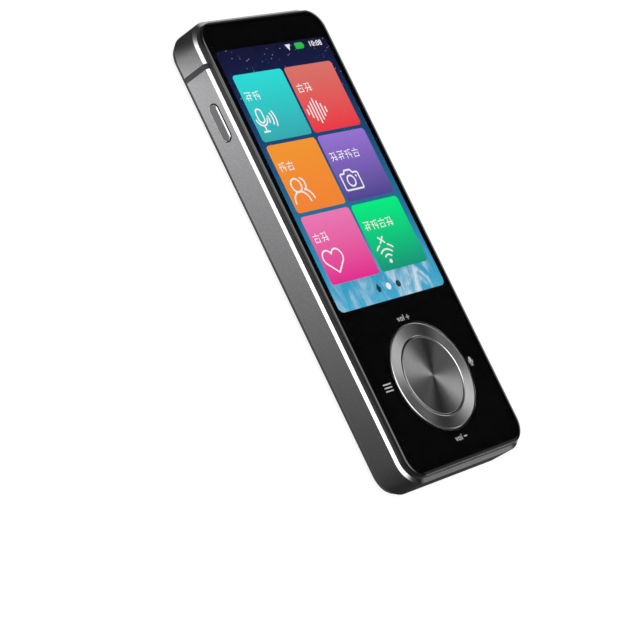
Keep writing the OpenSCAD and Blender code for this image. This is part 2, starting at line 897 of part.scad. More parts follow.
module radio_shield() {
    color([0.7, 0.71, 0.72])
        difference() {
            shield(-shield_out, -shield_in, radio_low_y, radio_top_y);
            slab(-(shield_in + shield_out) / 2, (radio_low_y + radio_top_y) / 2,
                 shield_out - shield_in - 2 * shield_t, radio_top_y - radio_low_y - 2 * shield_t,
                 board_z - past, board_z + shield_h - shield_t);
        }
}

chip_h = 0.9;
processor_w = 9;
processor_l = 12;
radio_chip_w = 7;

module processor_chip() {
    color([0.08, 0.08, 0.09])
        slab((shield_in + shield_out) / 2, (column_y + processor_top_y) / 2,
             processor_w, processor_l, board_z, board_z + chip_h);
}

module radio_chip() {
    color([0.08, 0.08, 0.09])
        slab(-(shield_in + shield_out) / 2, (radio_low_y + radio_top_y) / 2,
             radio_chip_w, radio_chip_w, board_z, board_z + chip_h);
}

module battery() {
    battery_r = 1.5;
    color([0.16, 0.17, 0.19])
        translate([0, battery_y, 0])
            round_plate(battery_w, battery_l, battery_r, battery_z, battery_z + battery_t);
}

module battery_circuit() {
    circuit_side = 2;
    circuit_drop = 1.2;
    color([0.1, 0.3, 0.16])
        slab(0, battery_top_y + circuit_l / 2, battery_w - 2 * circuit_side, circuit_l,
             battery_z, battery_z + battery_t - circuit_drop);
}

module battery_tape() {
    tape_side = 2;
    tape_end = 3;
    color([0.85, 0.84, 0.8])
        slab(0, battery_y, battery_w - 2 * tape_side, battery_l - 2 * tape_end,
             back_wall, battery_z);
}

battery_flex_x = -9.5;
battery_flex_w = 4;

module battery_flex() {
    start_y = battery_top_y + circuit_l;
    end_y = connector_y + connector_l / 2;
    strip_z = board_z + 1;
    color([0.75, 0.45, 0.12]) {
        slab(battery_flex_x, (start_y + end_y) / 2, battery_flex_w, end_y - start_y,
             strip_z - flex_t, strip_z);
        slab(battery_flex_x, start_y + flex_t / 2, battery_flex_w, flex_t,
             battery_z + 0.3, strip_z);
        slab(battery_flex_x, connector_y, battery_flex_w, connector_l, board_z, strip_z - flex_t);
    }
}

// The box rests on the back wall round its window, which holds the mesh and lets the sound out
module speaker_box() {
    box_r = 1.5;
    color([0.15, 0.15, 0.16])
        difference() {
            translate([0, speaker_y, 0])
                round_plate(speaker_w, speaker_l, box_r, back_wall, back_wall + speaker_h);
            slab(0, speaker_y, speaker_window_w, speaker_window_l,
                 back_wall - past, chamber_low + past);
            slab(0, speaker_y, speaker_w - 2 * speaker_side, speaker_l - 2 * speaker_side,
                 chamber_low, chamber_high);
        }
}

module speaker_driver() {
    frame_side = 2;
    frame_t = 1.4;
    magnet_side = 6;
    magnet_end = 4.5;
    color([0.3, 0.3, 0.32])
        translate([0, speaker_y, 0]) {
            slab(0, 0, speaker_w - 2 * frame_side, speaker_l - 2 * frame_side,
                 chamber_low, chamber_low + frame_t);
            slab(0, 0, speaker_w - 2 * magnet_side, speaker_l - 2 * magnet_end,
                 chamber_low + frame_t, chamber_high);
        }
}

module speaker_mesh() {
    color([0.06, 0.06, 0.06])
        slab(0, speaker_y, speaker_window_w - 2 * mesh_gap, speaker_window_l - 2 * mesh_gap,
             back_wall, back_wall + mesh_t);
}

module camera_module() {
    recess_r = 1.7;
    color([0.12, 0.12, 0.13])
        translate([0, band_y, 0])
            difference() {
                union() {
                    slab(0, 0, camera_w, camera_w, camera_base_z, camera_base_z + camera_h);
                    tube(barrel_r, 0, window_depth, camera_base_z + 0.1);
                }
                tube(recess_r, 0, window_depth - past, window_depth + 0.5);
            }
}

module camera_lens() {
    lens_r = 1.6;
    bulge = 0.35;
    ball_r = (lens_r * lens_r + bulge * bulge) / (2 * bulge);
    seat_z = window_depth + 0.5;
    color([0.25, 0.15, 0.35])
        translate([0, band_y, 0])
            rotate_extrude()
                intersection() {
                    translate([0, seat_z - bulge + ball_r]) circle(ball_r, $fn = 256);
                    translate([0, seat_z - bulge]) square([lens_r, bulge]);
                }
}

module camera_shroud() {
    color([0.03, 0.03, 0.03])
        translate([0, band_y, 0])
            tube(camera_window_r, shroud_hole_r, window_sink + camera_glass_t, window_depth);
}

module camera_window() {
    color([0.1, 0.1, 0.12])
        translate([0, band_y, 0])
            tube(camera_window_r, 0, window_sink, window_sink + camera_glass_t);
}

module camera_flex() {
    low_y = band_y - camera_w / 2;
    flex_l = 4;
    flex_w = 5;
    plug_l = 2;
    strip_z = board_z + 0.4;
    color([0.75, 0.45, 0.12]) {
        slab(0, low_y - flex_l / 2, flex_w, flex_l, strip_z, strip_z + flex_t);
        slab(0, low_y - flex_l + plug_l / 2, flex_w, plug_l, board_z, strip_z);
    }
}

module flash_led() {
    die_low = window_depth + 0.15;
    die_high = back_wall + 0.1;
    case_w = 2.6;
    die_w = 1.5;
    die_l = 2;
    die_x = -0.35;
    color([0.95, 0.9, 0.6])
        translate([flash_x, band_y, 0]) {
            slab(0, 0, case_w, case_w, die_high, board_under_z);
            slab(die_x, 0, die_w, die_l, die_low, die_high + 0.1);
        }
}

module flash_window() {
    color([0.8, 0.8, 0.75])
        translate([flash_x, band_y, 0])
            tube(flash_window_r, 0, window_sink, window_depth);
}

mic_h = 0.9;

module microphone() {
    mic_w = 2.65;
    mic_l = 3.5;
    color([0.75, 0.7, 0.5])
        slab(mic_x, band_y, mic_w, mic_l, board_under_z - mic_h, board_under_z);
}

module microphone_gasket() {
    color([0.08, 0.08, 0.08])
        translate([mic_x, band_y, 0])
            tube(mic_boss_r, mic_hole_r, back_wall, board_under_z - mic_h);
}

module usb_port() {
    color([0.72, 0.73, 0.75])
        translate([port_x, 0, port_z])
            difference() {
                port_oval(port_w, port_h, port_mouth_y - port_l, port_mouth_y);
                port_oval(port_w - 2 * port_shell_t, port_h - 2 * port_shell_t,
                          port_mouth_y - port_l - past, port_mouth_y + past);
            }
}

module usb_tongue() {
    plug_l = 1.5;
    tongue_w = 6.7;
    tongue_t = 0.7;
    color([0.05, 0.05, 0.05])
        translate([port_x, 0, port_z]) {
            port_oval(port_w - 2 * port_shell_t, port_h - 2 * port_shell_t,
                      port_mouth_y - port_l, port_mouth_y - port_l + plug_l);
            slab(0, port_mouth_y - (port_l + 0.7) / 2, tongue_w, port_l - 0.7,
                 -tongue_t / 2, tongue_t / 2);
        }
}

carrier_x0 = 1;
carrier_post_gap = 0.6;
carrier_camera_gap = 1.6;
carrier_wall_gap = 0.5;
carrier_plate_gap = 0.3;
carrier_x1 = post_corner_x - post_r - carrier_post_gap;
carrier_low_y = band_y + camera_w / 2 + carrier_camera_gap;
carrier_top_y = y_top - side_wall - carrier_wall_gap;
carrier_z = plate_under_z - carrier_plate_gap;

module antenna_carrier() {
    color([0.85, 0.85, 0.82])
        slab((carrier_x0 + carrier_x1) / 2, (carrier_low_y + carrier_top_y) / 2,
             carrier_x1 - carrier_x0, carrier_top_y - carrier_low_y, board_z, carrier_z);
}

module antenna_flex() {
    flex_side = 0.5;
    flex_end = 0.8;
    flex_lift = 0.2;
    flex_w = carrier_x1 - carrier_x0 - 2 * flex_side;
    color([0.8, 0.5, 0.15]) {
        slab((carrier_x0 + carrier_x1) / 2, carrier_top_y + flex_t / 2,
             flex_w, flex_t, board_z + flex_lift, carrier_z + flex_t);
        slab((carrier_x0 + carrier_x1) / 2, (carrier_low_y + flex_end + carrier_top_y) / 2,
             flex_w, carrier_top_y - carrier_low_y - flex_end, carrier_z, carrier_z + flex_t);
    }
}

module frame_screws() {
    color([0.6, 0.6, 0.62])
        at(concat(housing_posts(), cap_posts()))
            screw(screw_l, plate_z - screw_head_h - 0.05);
}

module board_screws() {
    color([0.6, 0.6, 0.62])
        at(board_posts()) screw(board_t + board_lift - 0.4, board_z);
}

main_housing();
top_cap();
antenna_band();
front_bezel();
cover_glass();
screen_mask();
display_panel();
backlight();
display_flex();
mid_plate();
navigation_ring();
ring_web();
centre_button();
key_base();
key_domes();
key_board();
key_flex();
side_button();
side_switch();
side_switch_flex();
main_board();
processor_chip();
radio_chip();
processor_shield();
radio_shield();
battery();
battery_circuit();
battery_tape();
battery_flex();
speaker_box();
speaker_driver();
speaker_mesh();
camera_module();
camera_lens();
camera_shroud();
camera_window();
camera_flex();
flash_led();
flash_window();
microphone();
microphone_gasket();
usb_port();
usb_tongue();
antenna_carrier();
antenna_flex();
frame_screws();
board_screws();
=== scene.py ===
"""Finish and light for the handheld translator: screen graphics, marks, keys, glass and metal finishes.

Everything is in metres, in the frame of the CAD parts: +X right of the screen, +Y the camera end, +Z out of
the screen. Lengths on the part are written in millimetres, times MM. Those of camera and floor are in metres.
"""

import math

import bmesh
import bpy
from mathutils import Matrix, Vector


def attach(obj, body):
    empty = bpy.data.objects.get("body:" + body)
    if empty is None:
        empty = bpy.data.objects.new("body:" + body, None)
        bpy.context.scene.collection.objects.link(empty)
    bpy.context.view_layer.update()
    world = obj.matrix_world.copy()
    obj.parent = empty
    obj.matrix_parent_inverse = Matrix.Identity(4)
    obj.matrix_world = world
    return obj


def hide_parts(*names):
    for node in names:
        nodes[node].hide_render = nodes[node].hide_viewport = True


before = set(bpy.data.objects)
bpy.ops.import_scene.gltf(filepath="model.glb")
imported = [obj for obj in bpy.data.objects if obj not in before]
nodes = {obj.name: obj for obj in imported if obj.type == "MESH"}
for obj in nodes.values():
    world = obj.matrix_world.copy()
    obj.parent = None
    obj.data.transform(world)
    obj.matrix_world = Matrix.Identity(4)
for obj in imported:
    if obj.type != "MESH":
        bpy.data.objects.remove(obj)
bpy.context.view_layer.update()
MM = 0.001

# Heights of the layers behind the cover glass, in mm
TILE_LOW, TILE_HIGH = 9.704, 9.720
ICON_LOW, ICON_HIGH = 9.722, 9.736
PRINT_LOW, PRINT_HIGH = 9.803, 9.820
GLASS_LOW, GLASS_TOP = 9.830, 10.60

# Lit area of the screen along the device, in mm
SCREEN_LOW_Y, SCREEN_HIGH_Y = -16.45, 49.05

# Ring and centre key, in mm
RING_Y = -35.65
RING_IN_R, RING_OUT_R = 9.65, 12.95
CENTRE_KEY_R = 9.35
KEYS_LOW, KEYS_TOP = 9.70, 10.65

# Largest difference in height, in mm, between points that count as level
LEVEL = 1e-4


# ---------------------------------------------------------------- camera, floor and lights


def new_object(name, data):
    """New object in the scene"""
    thing = bpy.data.objects.new(name, data)
    bpy.context.collection.objects.link(thing)
    return thing


def set_camera():
    lens = bpy.data.cameras.new("camera")
    lens.sensor_width = 36
    lens.lens = 145.33
    lens.clip_start, lens.clip_end = 0.01, 20
    camera = new_object("camera", lens)
    right = Vector((0.61900, -0.42828, 0.65835))
    up = Vector((0.17322, 0.89204, 0.41743))
    back = Vector((-0.76605, -0.14435, 0.62636))
    turn = Matrix((right, up, back)).transposed().to_4x4()
    camera.matrix_world = Matrix.Translation((-0.448888, -0.094309, 0.354459)) @ turn
    bpy.context.scene.camera = camera


def set_studio():
    """Soft sky: a dome above, dark where the flat glass mirrors it, small lights past the bottom and right
    edges and a strip low on the left. The lower half lights the back, through the gap in the floor."""
    scene = bpy.context.scene
    scene.view_settings.view_transform = "Standard"
    world = bpy.data.worlds.new("studio")
    scene.world = world
    world.use_nodes = True
    tree = world.node_tree
    sky = tree.nodes["Background"]
    way = tree.nodes.new("ShaderNodeTexCoord").outputs["Generated"]

    # Direction of the middle, cosines to it where the light starts and is full, strengths outside and inside
    lobes = [
        ((-0.30, -0.06, 0.95), 0.68, 0.96, 0.01, 2.7),  # dome above
        ((0.90, 0.15, 0.38), 0.35, 0.80, 0.25, 0.0),  # dim fill, with the dark flag for the flat glass
        ((0.777, -0.52, 0.36), 0.978, 0.995, 0.0, 1.5),  # line along the glass at the bottom end
        ((0.80, -0.22, 0.56), 0.980, 0.997, 0.0, 0.26),  # chamfer at the bottom end
        ((0.76, 0.60, 0.22), 0.94, 0.99, 0.0, 0.45),  # glass edge at the camera end
        ((-0.99, 0.12, 0.01), 0.965, 0.993, 0.0, 3.6),  # strip on the left, for the bright chamfer
        ((0.98, 0.20, 0.02), 0.88, 0.97, 0.0, 1.2),  # horizon on the right, for the glass edge
        ((-0.30, 0.25, -0.92), 0.20, 0.95, 0.0, 0.75),  # below, for the back
    ]
    lights = []
    for towards, start, full, low, high in lobes:
        near = vector_node(tree, "DOT_PRODUCT", way, Vector(towards).normalized())
        lights.append(map_range(tree, near, start, full, low, high, smooth=True))
    light = lights[0]
    for extra in lights[1:]:
        light = math_node(tree, "ADD", light, extra)
    rays = tree.nodes.new("ShaderNodeLightPath")
    strength = tree.nodes.new("ShaderNodeMix")
    tree.links.new(rays.outputs["Is Camera Ray"], strength.inputs[0])
    tree.links.new(light, strength.inputs[2])
    strength.inputs[3].default_value = 1.0
    tree.links.new(strength.outputs[0], sky.inputs["Strength"])
    sky.inputs["Color"].default_value = (1, 1, 1, 1)


def add_floor():
    """Pale paper, seen from above only. What the part mirrors of it is toned down close to the part, as with
    dark cards laid round a product, and right under the part it lets the light from below through."""
    half_size, drop = 4, 0.2 * MM
    # Reach of the gap under the part: across, along, and across plus along at its cut corners
    gap_half_w, gap_half_l, gap_corner = 21.6, 55.8, 75.0
    grid = bmesh.new()
    bmesh.ops.create_grid(grid, x_segments=1, y_segments=1, size=half_size)
    mesh = bpy.data.meshes.new("floor")
    grid.to_mesh(mesh)
    grid.free()
    mesh.transform(Matrix.Translation((0, 0, -drop)))
    floor = new_object("floor", mesh)
    tree, paper, place = start_finish("floor_paper")
    paper.inputs["Base Color"].default_value = (0.22, 0.22, 0.22, 1)
    paper.inputs["Roughness"].default_value = 0.9
    paper.inputs["Emission Color"].default_value = (1, 1, 1, 1)
    paper.inputs["Emission Strength"].default_value = 0.84
    mesh.materials.append(bpy.data.materials["floor_paper"])
    x, y, _ = axes(tree, place)

    # Strength of the cards: bright beyond the right edge and far to the left, and rising along the left edge
    def ramp(value, start, end, low=0.0, high=1.0, smooth=True):
        return map_range(tree, value, start * MM, end * MM, low, high, smooth)

    right = ramp(x, 27, 44, 0.0, 1.25)
    rise = ramp(y, -62, 46, 0.25, 1.42, smooth=False)
    upper = math_node(tree, "MULTIPLY", math_node(tree, "MULTIPLY", rise, rise), ramp(y, 46, 60, 1.0, 0.0))
    left = math_node(tree, "MULTIPLY_ADD", upper, ramp(x, -23.3, -22.5, 1.0, 0.0), 0.06)
    far = ramp(x, -150, -60, 0.8, 0.0)
    cards = tree.nodes.new("ShaderNodeEmission")
    shade = math_node(tree, "MAXIMUM", math_node(tree, "MAXIMUM", right, left), far)
    tree.links.new(shade, cards.inputs["Strength"])

    # The camera sees the paper, and everything else sees the cards
    by_camera = tree.nodes.new("ShaderNodeLightPath").outputs["Is Camera Ray"]
    seen = mix_shaders(tree, by_camera, cards.outputs[0], paper.outputs[0])

    # Clear from below, and clear under the part for everything but the camera
    below = tree.nodes.new("ShaderNodeNewGeometry").outputs["Backfacing"]
    across, along = math_node(tree, "ABSOLUTE", x), math_node(tree, "ABSOLUTE", y)
    gap = math_node(tree, "SUBTRACT", 1.0, by_camera)
    both = math_node(tree, "ADD", across, along)
    for reach, limit in ((across, gap_half_w), (along, gap_half_l), (both, gap_corner)):
        gap = math_node(tree, "MULTIPLY", gap, math_node(tree, "LESS_THAN", reach, limit * MM))
    clear = tree.nodes.new("ShaderNodeBsdfTransparent").outputs[0]
    shown = mix_shaders(tree, math_node(tree, "MAXIMUM", below, gap), seen, clear)
    tree.links.new(shown, tree.nodes["Material Output"].inputs["Surface"])


# ---------------------------------------------------------------- shared effects


def new_effect(name, fineness, outputs=("Tone", "Height")):
    """Empty node group that takes a place and a fineness and gives numbers"""
    group = bpy.data.node_groups.new(name, "ShaderNodeTree")
    for label, kind, value in (("Place", "Vector", (0, 0, 0)), ("Fineness", "Float", fineness)):
        socket = group.interface.new_socket(label, in_out="INPUT", socket_type=f"NodeSocket{kind}")
        socket.default_value = value
    for label in outputs:
        group.interface.new_socket(label, in_out="OUTPUT", socket_type="NodeSocketFloat")
    return group, group.nodes.new("NodeGroupInput"), group.nodes.new("NodeGroupOutput")


def math_node(tree, how, a, b=0.0, c=0.0):
    """Math node whose inputs are numbers or sockets; gives its output socket"""
    node = tree.nodes.new("ShaderNodeMath")
    node.operation = how
    for socket, value in zip(node.inputs, (a, b, c)):
        if isinstance(value, (int, float)):
            socket.default_value = value
        else:
            tree.links.new(value, socket)
    return node.outputs[0]


def vector_node(tree, how, a, b=(0, 0, 0)):
    """Vector Math node whose inputs are vectors or sockets; gives its output socket"""
    node = tree.nodes.new("ShaderNodeVectorMath")
    node.operation = how
    for socket, value in zip(node.inputs, (a, b)):
        if isinstance(value, (tuple, Vector)):
            socket.default_value = value
        else:
            tree.links.new(value, socket)
    return node.outputs["Value"] if how in ("LENGTH", "DOT_PRODUCT") else node.outputs["Vector"]


def mix_shaders(tree, share, a, b):
    """Shader that goes from a to b as share goes from 0 to 1"""
    node = tree.nodes.new("ShaderNodeMixShader")
    for socket, source in zip(node.inputs, (share, a, b)):
        tree.links.new(source, socket)
    return node.outputs[0]


def axes(tree, vector):
    """X, Y and Z of a vector"""
    split = tree.nodes.new("ShaderNodeSeparateXYZ")
    tree.links.new(vector, split.inputs[0])
    return split.outputs


def noise_node(tree, place, scale, detail=2.0, rough=0.5, dims="3D"):
    """Noise from 0 to 1, with scale a number or a socket"""
    node = tree.nodes.new("ShaderNodeTexNoise")
    node.noise_dimensions = dims
    node.inputs["Detail"].default_value = detail
    node.inputs["Roughness"].default_value = rough
    tree.links.new(place, node.inputs["W" if dims == "1D" else "Vector"])
    if isinstance(scale, (int, float)):
        node.inputs["Scale"].default_value = scale
    else:
        tree.links.new(scale, node.inputs["Scale"])
    return node.outputs["Fac"]


def map_range(tree, value, low, high, to_low=0.0, to_high=1.0, smooth=False):
    """Value carried from low..high to to_low..to_high and held at both ends"""
    node = tree.nodes.new("ShaderNodeMapRange")
    node.clamp = True
    if smooth:
        node.interpolation_type = "SMOOTHSTEP"
    tree.links.new(value, node.inputs["Value"])
    for label, number in zip(("From Min", "From Max", "To Min", "To Max"), (low, high, to_low, to_high)):
        node.inputs[label].default_value = number
    return node.outputs["Result"]


def blend(tree, share, a, b, how="MIX"):
    """Colour that goes from a to b as share goes from 0 to 1; a and b are colours or sockets"""
    node = tree.nodes.new("ShaderNodeMix")
    node.data_type = "RGBA"
    node.blend_type = how
    node.clamp_result = False
    if isinstance(share, (int, float)):
        node.inputs[0].default_value = share
    else:
        tree.links.new(share, node.inputs[0])
    for socket, value in zip((node.inputs[6], node.inputs[7]), (a, b)):
        if isinstance(value, tuple):
            socket.default_value = (*value[:3], 1)
        else:
            tree.links.new(value, socket)
    return node.outputs[2]


def colour_ramp(tree, share, stops):
    """Colour that runs through stops of (share, colour)"""
    node = tree.nodes.new("ShaderNodeValToRGB")
    elements = node.color_ramp.elements
    while len(elements) < len(stops):
        elements.new(0.5)
    for element, (at, colour) in zip(elements, stops):
        element.position = at
        element.color = (*colour, 1)
    tree.links.new(share, node.inputs["Fac"])
    return node.outputs["Color"]


def make_fine_grain():
    """Blasted or moulded grain: small lumps with a finer speckle on them"""
    group, takes, gives = new_effect("fine_grain", 6000.0)
    finer_by, speckle_share = 2.7, 0.35
    lumps = noise_node(group, takes.outputs["Place"], takes.outputs["Fineness"], 3.0, 0.65)
    finer = math_node(group, "MULTIPLY", takes.outputs["Fineness"], finer_by)
    speckle = noise_node(group, takes.outputs["Place"], finer, 1.0)
    coarse = math_node(group, "MULTIPLY", lumps, 1 - speckle_share)
    both = math_node(group, "MULTIPLY_ADD", speckle, speckle_share, coarse)
    group.links.new(map_range(group, both, 0.32, 0.68), gives.inputs["Tone"])
    group.links.new(both, gives.inputs["Height"])
    return group


def make_turned_grooves():
    """Fine circles of a turned face round the axis of the keys"""
    group, takes, gives = new_effect("turned_grooves", 9000.0)
    middle = group.nodes.new("ShaderNodeMapping")
    middle.inputs["Location"].default_value = (0, -RING_Y * MM, 0)
    middle.inputs["Scale"].default_value = (1, 1, 0)
    group.links.new(takes.outputs["Place"], middle.inputs["Vector"])
    radius = vector_node(group, "LENGTH", middle.outputs[0])
    coarse = noise_node(group, radius, takes.outputs["Fineness"], 1.0, 0.6, "1D")
    group.links.new(map_range(group, coarse, 0.25, 0.75), gives.inputs["Tone"])
    group.links.new(coarse, gives.inputs["Height"])
    return group


def make_rolled_streaks():
    """Long streaks along Y, as on rolled sheet or stretched film"""
    group, takes, gives = new_effect("rolled_streaks", 3000.0)
    stretch = group.nodes.new("ShaderNodeMapping")
    stretch.inputs["Scale"].default_value = (1, 0.03, 1)
    group.links.new(takes.outputs["Place"], stretch.inputs["Vector"])
    streak = noise_node(group, stretch.outputs[0], takes.outputs["Fineness"], 3.0, 0.6)
    group.links.new(map_range(group, streak, 0.3, 0.7), gives.inputs["Tone"])
    group.links.new(streak, gives.inputs["Height"])
    return group


def make_handling():
    """Broad faint patches, as hands leave on a clean surface"""
    group, takes, gives = new_effect("handling", 60.0, ["Tone"])
    patches = noise_node(group, takes.outputs["Place"], takes.outputs["Fineness"], 2.0, 0.6)
    group.links.new(map_range(group, patches, 0.3, 0.7), gives.inputs["Tone"])
    return group


FINE_GRAIN = make_fine_grain()
TURNED_GROOVES = make_turned_grooves()
ROLLED_STREAKS = make_rolled_streaks()
HANDLING = make_handling()


# ---------------------------------------------------------------- building a finish


def start_finish(name):
    """New material with one Principled shader; gives its tree, the shader and the piece's own place"""
    finish = bpy.data.materials.new(name)
    finish.use_nodes = True
    tree = finish.node_tree
    shader = next(n for n in tree.nodes if n.type == "BSDF_PRINCIPLED")
    place = tree.nodes.new("ShaderNodeTexCoord").outputs["Object"]
    return tree, shader, place


def put_effect(tree, group, place, fineness):
    """Shared effect at the piece's place; gives its outputs"""
    node = tree.nodes.new("ShaderNodeGroup")
    node.node_tree = group
    tree.links.new(place, node.inputs["Place"])
    node.inputs["Fineness"].default_value = fineness
    return node.outputs


def add_bump(tree, shader, height, depth):
    """Relief on the shader, depth in millimetres"""
    bump = tree.nodes.new("ShaderNodeBump")
    bump.inputs["Strength"].default_value = 1.0
    bump.inputs["Distance"].default_value = depth * MM
    tree.links.new(height, bump.inputs["Height"])
    tree.links.new(bump.outputs["Normal"], shader.inputs["Normal"])


def textured(name, colour, metallic, roughness, group, fineness, spread=0.15, depth=0.004, rough_spread=0.06,
             **others):
    """Finish of one colour whose tone, gloss and relief follow a shared effect and faint handling, with the
    shader's other inputs by their label with _ for each space"""
    tree, shader, place = start_finish(name)
    effect = put_effect(tree, group, place, fineness)
    touch = put_effect(tree, HANDLING, place, 70.0)
    dark = tuple(c * (1 - spread) for c in colour)
    light = tuple(min(1.0, c * (1 + spread)) for c in colour)
    tree.links.new(blend(tree, effect["Tone"], dark, light), shader.inputs["Base Color"])
    gloss = map_range(tree, touch["Tone"], 0, 1, roughness - rough_spread, roughness + rough_spread)
    tree.links.new(gloss, shader.inputs["Roughness"])
    shader.inputs["Metallic"].default_value = metallic
    for label, value in others.items():
        shader.inputs[label.replace("_", " ")].default_value = value
    add_bump(tree, shader, effect["Height"], depth)
    return bpy.data.materials[name]


def edge_mask(tree, low, high):
    """1 on faces that lean, where the height of the normal lies between low and high, and 0 elsewhere"""
    facing = tree.nodes.new("ShaderNodeNewGeometry").outputs["True Normal"]
    slope = math_node(tree, "ABSOLUTE", axes(tree, facing)["Z"])
    return math_node(tree, "MULTIPLY", math_node(tree, "GREATER_THAN", slope, low),
                     math_node(tree, "LESS_THAN", slope, high))


def blasted_metal(name, dark, light, lean, roughness, fineness, depth):
    """Bead-blasted metal, polished where the height of its normal lies between the two values of lean"""
    bright, gloss = (0.82, 0.82, 0.83), 0.14
    tree, shader, place = start_finish(name)
    grain = put_effect(tree, FINE_GRAIN, place, fineness)
    touch = put_effect(tree, HANDLING, place, 45.0)
    polished = edge_mask(tree, *lean)
    matt = blend(tree, grain["Tone"], dark, light)
    tree.links.new(blend(tree, polished, matt, bright), shader.inputs["Base Color"])
    soft = map_range(tree, touch["Tone"], 0, 1, roughness - 0.04, roughness + 0.04)
    rough = math_node(tree, "MULTIPLY_ADD", polished, gloss - roughness, soft)
    tree.links.new(rough, shader.inputs["Roughness"])
    shader.inputs["Metallic"].default_value = 1.0
    keep = math_node(tree, "SUBTRACT", 1.0, polished)
    add_bump(tree, shader, math_node(tree, "MULTIPLY", grain["Height"], keep), depth)
    return bpy.data.materials[name]


def turned_metal(name, dark, light, roughness, fineness, depth, bright_edges):
    """Turned metal: fine circles round the keys' axis, with the fan-shaped sheen that they give"""
    lean, bright, edge_gloss = (0.1, 0.98), (0.62, 0.62, 0.63), 0.12
    tree, shader, place = start_finish(name)
    groove = put_effect(tree, TURNED_GROOVES, place, fineness)
    touch = put_effect(tree, HANDLING, place, 90.0)
    turned = blend(tree, groove["Tone"], dark, light)
    gloss = map_range(tree, touch["Tone"], 0, 1, roughness - 0.02, roughness + 0.03)
    if bright_edges:
        polished = edge_mask(tree, *lean)
        turned = blend(tree, polished, turned, bright)
        gloss = math_node(tree, "MULTIPLY_ADD", polished, edge_gloss - roughness, gloss)
    tree.links.new(turned, shader.inputs["Base Color"])
    tree.links.new(gloss, shader.inputs["Roughness"])
    shader.inputs["Metallic"].default_value = 1.0
    shader.inputs["Anisotropic"].default_value = 0.95
    # Turns the bright fans towards the dome light, as seen by the camera
    shader.inputs["Anisotropic Rotation"].default_value = 0.375
    around = tree.nodes.new("ShaderNodeTangent")
    around.direction_type = "RADIAL"
    around.axis = "Z"
    tree.links.new(around.outputs[0], shader.inputs["Tangent"])
    add_bump(tree, shader, groove["Height"], depth)
    return bpy.data.materials[name]


def glass_finish(name, tint, fineness=40.0):
    """Clear glass with a faint film of handling on its gloss"""
    tree, shader, place = start_finish(name)
    touch = put_effect(tree, HANDLING, place, fineness)
    shader.inputs["Base Color"].default_value = (*tint, 1)
    tree.links.new(map_range(tree, touch["Tone"], 0, 1, 0.0, 0.02), shader.inputs["Roughness"])
    shader.inputs["Metallic"].default_value = 0.0
    shader.inputs["Transmission Weight"].default_value = 1.0
    shader.inputs["IOR"].default_value = 1.5
    return bpy.data.materials[name]


SCREEN_BLACK = (0.003, 0.003, 0.003)


def screen_colour(red, green, blue):
    """Screen colour from 0-255 values, as linear light"""
    def line(v):
        v /= 255
        return v / 12.92 if v <= 0.04045 else ((v + 0.055) / 1.055) ** 2.4
    return line(red), line(green), line(blue)


def make_lit(tree, shader, colour):
    """Makes the shader a dark screen that glows in the colour"""
    shader.inputs["Base Color"].default_value = (*SCREEN_BLACK, 1)
    shader.inputs["Roughness"].default_value = 0.6
    shader.inputs["Specular IOR Level"].default_value = 0.0
    tree.links.new(colour, shader.inputs["Emission Color"])
    shader.inputs["Emission Strength"].default_value = 1.0


def glow_finish(name, low_colour, high_colour, y_low, y_high):
    """Lit part of the screen whose colour runs along the device, from y_low to y_high in mm"""
    tree, shader, place = start_finish(name)
    share = map_range(tree, axes(tree, place)["Y"], y_low * MM, y_high * MM)
    grain = put_effect(tree, FINE_GRAIN, place, 9000.0)
    ramp = blend(tree, share, low_colour, high_colour)
    dots = map_range(tree, grain["Tone"], 0, 1, 0.97, 1.03)
    make_lit(tree, shader, blend(tree, 1.0, ramp, dots, "MULTIPLY"))
    return bpy.data.materials[name]


